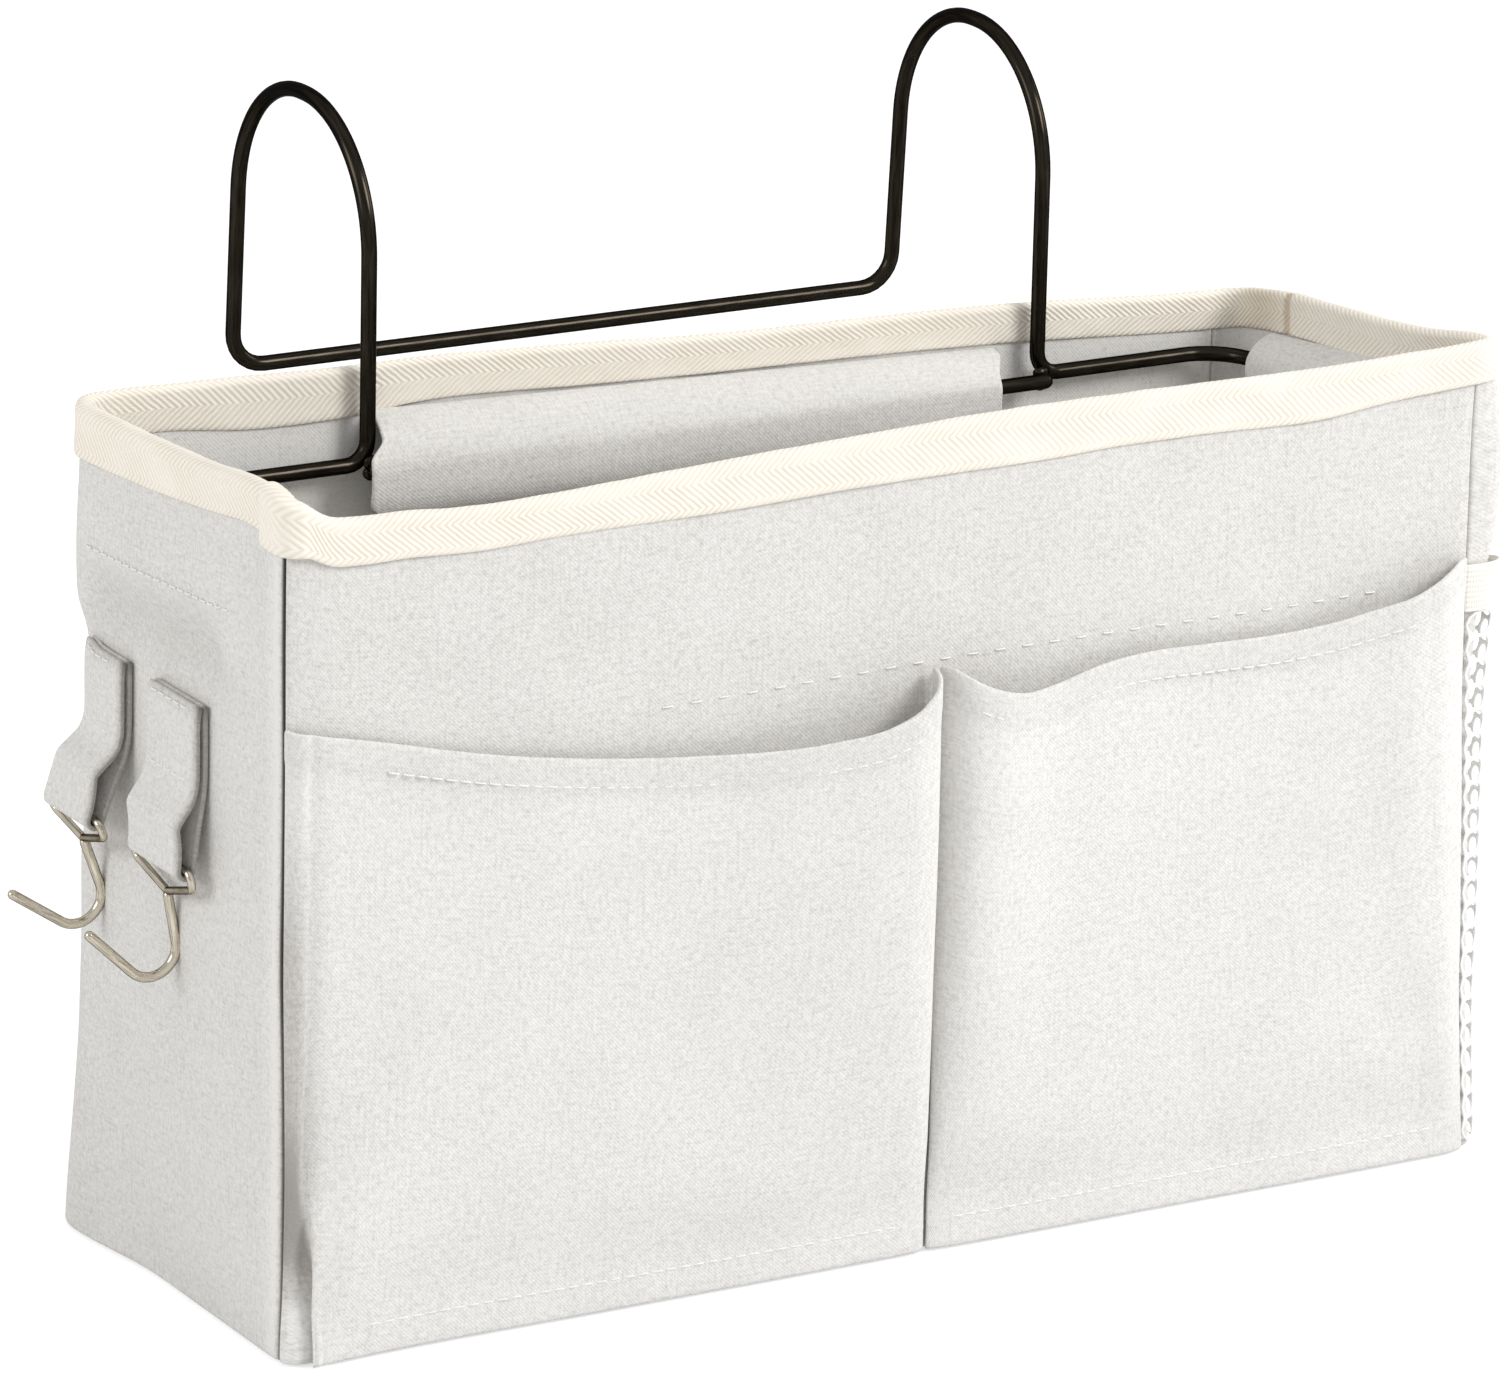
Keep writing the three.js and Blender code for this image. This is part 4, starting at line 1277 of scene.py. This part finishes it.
def nickel_plate():
    finish, tree, shader, u, v = new_finish(
        "nickel_wire", Metallic=1, Specular_Tint=(0.08, 0.07, 0.06, 1),
    )
    streaks = uneven(tree, u, v, 6, 0.5, 3.0, 0.6)
    painted(tree, shader, contrast(tree, streaks, 0.4, 0.8), nickel_colour, nickel_worn)
    rough = math_node(tree, "MULTIPLY_ADD", streaks, 0.16, 0.08)
    tree.links.new(rough, shader.inputs["Roughness"])
    bumped(tree, shader, streaks, 0.1, 0.06)
    return finish


nickel_wire = nickel_plate()


def hook_piece(side):
    spec = straps[side]
    place = joint_place(side + "_hook_swing")
    arm = ((arm_reach, 0), (arm_reach, -arm_drop))
    arms = (*arm, (0, -junction_drop), *((-y, z) for y, z in reversed(arm)))
    arm_corners = [((0, y, z), arm_bend) for y, z in arms]
    shank = [Vector((0, 0, -junction_drop)), Vector((0, 0, -(junction_drop + shank_drop) / 2))]
    for share in np.linspace(0, 1, 25):
        angle = hook_turn * share
        x = hook_bend * (math.cos(angle) - 1)
        shank.append(Vector((x, 0, -shank_drop - hook_bend * math.sin(angle))))
    direction = Vector((-math.sin(hook_turn), 0, -math.cos(hook_turn)))
    last = shank[-1]
    shank += [last + direction * (tip_length * share) for share in (0.3, 0.6, 0.85, 1)]
    turn = Matrix.Rotation(math.radians(spec["hook_tilt"]), 3, "Y")
    arm_line = [place + turn @ p for p in rounded_line(arm_corners, step=1.5)]
    for p in arm_line:
        p.y -= corner_shift * float(drawn_in(p.y))
    shank_line = [place + turn @ p for p in shank]
    arm_skin = (wire_rings(arm_line, arm_radius, closed=True, sides=16), True)
    shank_skin = (wire_rings(shank_line, shank_radius, sides=18), False)
    name = side + "_hook"
    make_object(name, skin_mesh(name, [arm_skin, shank_skin]), nickel_wire, "nickel_wire", spec["hook"])


hook_piece("front")
hook_piece("rear")


# Stitches: rows of off-white cotton thread, sewn through the pockets' hems, the sleeves' lower edges and
# both ends of the straps' sewn part. Each stitch dips into the cloth at its ends.
thread_radius = 0.24
thread_colour = (0.91, 0.905, 0.89, 1)
thread_shadow = (0.76, 0.75, 0.73, 1)
ply_pitch = 0.6
stitch_length = 2.9
stitch_pitch = 3.9
first_stitch = 0.6
thread_lift = 0.1
thread_dip = -0.15
wall_lift = 0.22
strap_lift = 0.2
strap_stitch_drops = (1.6, 19.5)


def thread_finish():
    finish, tree, shader, u, v = new_finish("thread", Roughness=0.6, Sheen_Weight=0.2)
    twist = contrast(tree, ridges(tree, u, ply_pitch), -1, 1)
    painted(tree, shader, twist, thread_colour, thread_shadow)
    return finish


thread = thread_finish()


def stitch_row(name, places, outs, slot, every=1):
    """Stitches along a line of places on a surface, each a short thread lying on the cloth."""
    places = np.asarray(places, float)
    runs = np.concatenate([[0], np.cumsum(np.linalg.norm(np.diff(places, axis=0), axis=1))])
    skins = []
    count = int((runs[-1] - stitch_length) / stitch_pitch)
    for i in range(0, count, every):
        line = []
        for along, rise in ((0, thread_dip), (0.25, thread_lift), (0.75, thread_lift), (1, thread_dip)):
            at = i * stitch_pitch + first_stitch + along * stitch_length
            spot = Vector([np.interp(at, runs, places[:, axis]) for axis in range(3)])
            out = Vector([np.interp(at, runs, outs[:, axis]) for axis in range(3)]).normalized()
            line.append(spot + out * rise)
        skins.append((wire_rings(line, thread_radius, sides=8), False))
    make_object(name, skin_mesh(name, skins), thread, slot, replaces=False)


def surface_line(surface, samples):
    """Places and outward directions along a line that a function draws on a surface."""
    here = surface(samples, 0)
    up = surface(samples, 0.5) - here
    along = np.gradient(here, axis=0)
    outs = np.cross(along, up)
    return here, outs / np.linalg.norm(outs, axis=1, keepdims=True)


def pocket_stitches(name, mouth, foot, low, high):
    samples = np.linspace(low, high, 120)
    top = eased(samples, mouth, 3)
    for row, height in (("_mouth_stitches", top - hem_height + 0.8), ("_foot_stitches", foot_hem + 0.3)):
        def line(share, lift):
            return pocket_surface(mouth, foot, share, (height + lift - pocket_foot) / (top - pocket_foot))

        places, outs = surface_line(line, samples)
        stitch_row(name + row, places, outs, "pocket_canvas")


pocket_stitches("front_pocket_left", left_mouth, left_foot, 0.13, 0.96)
pocket_stitches("front_pocket_right", right_mouth, right_foot, 0.06, 0.97)


def wall_stitches(name, start, end, height, every=1):
    samples = np.linspace(start, end, 80)
    places, outs = surface_line(lambda s, lift: bag_surface(s, height + lift), samples)
    stitch_row(name, places + wall_lift * outs, outs, "canvas", every)


wall_stitches("front_sleeve_stitches", 95, 310, 154.5, 2)
wall_stitches("left_sleeve_stitches", left_start + 6, left_start + 84, 180.5)


def strap_stitches(side):
    place = joint_place(side + "_strap_swing")
    across = np.linspace(strap_width / 2 - 2, 2 - strap_width / 2, 40)
    outs = np.tile([-1.0, 0.0, 0.0], (len(across), 1))
    for drop in strap_stitch_drops:
        height = strap_top - drop
        y = place.y + across
        x = place.x - sewn_out(strap_top - height) - strap_lift + corner_set_in * drawn_in(y)
        spots = np.stack([x, y - corner_shift * drawn_in(y), height + 0 * across], axis=-1)
        stitch_row(f"{side}_strap_stitches_{round(height)}", spots, outs, "canvas")


strap_stitches("front")
strap_stitches("rear")
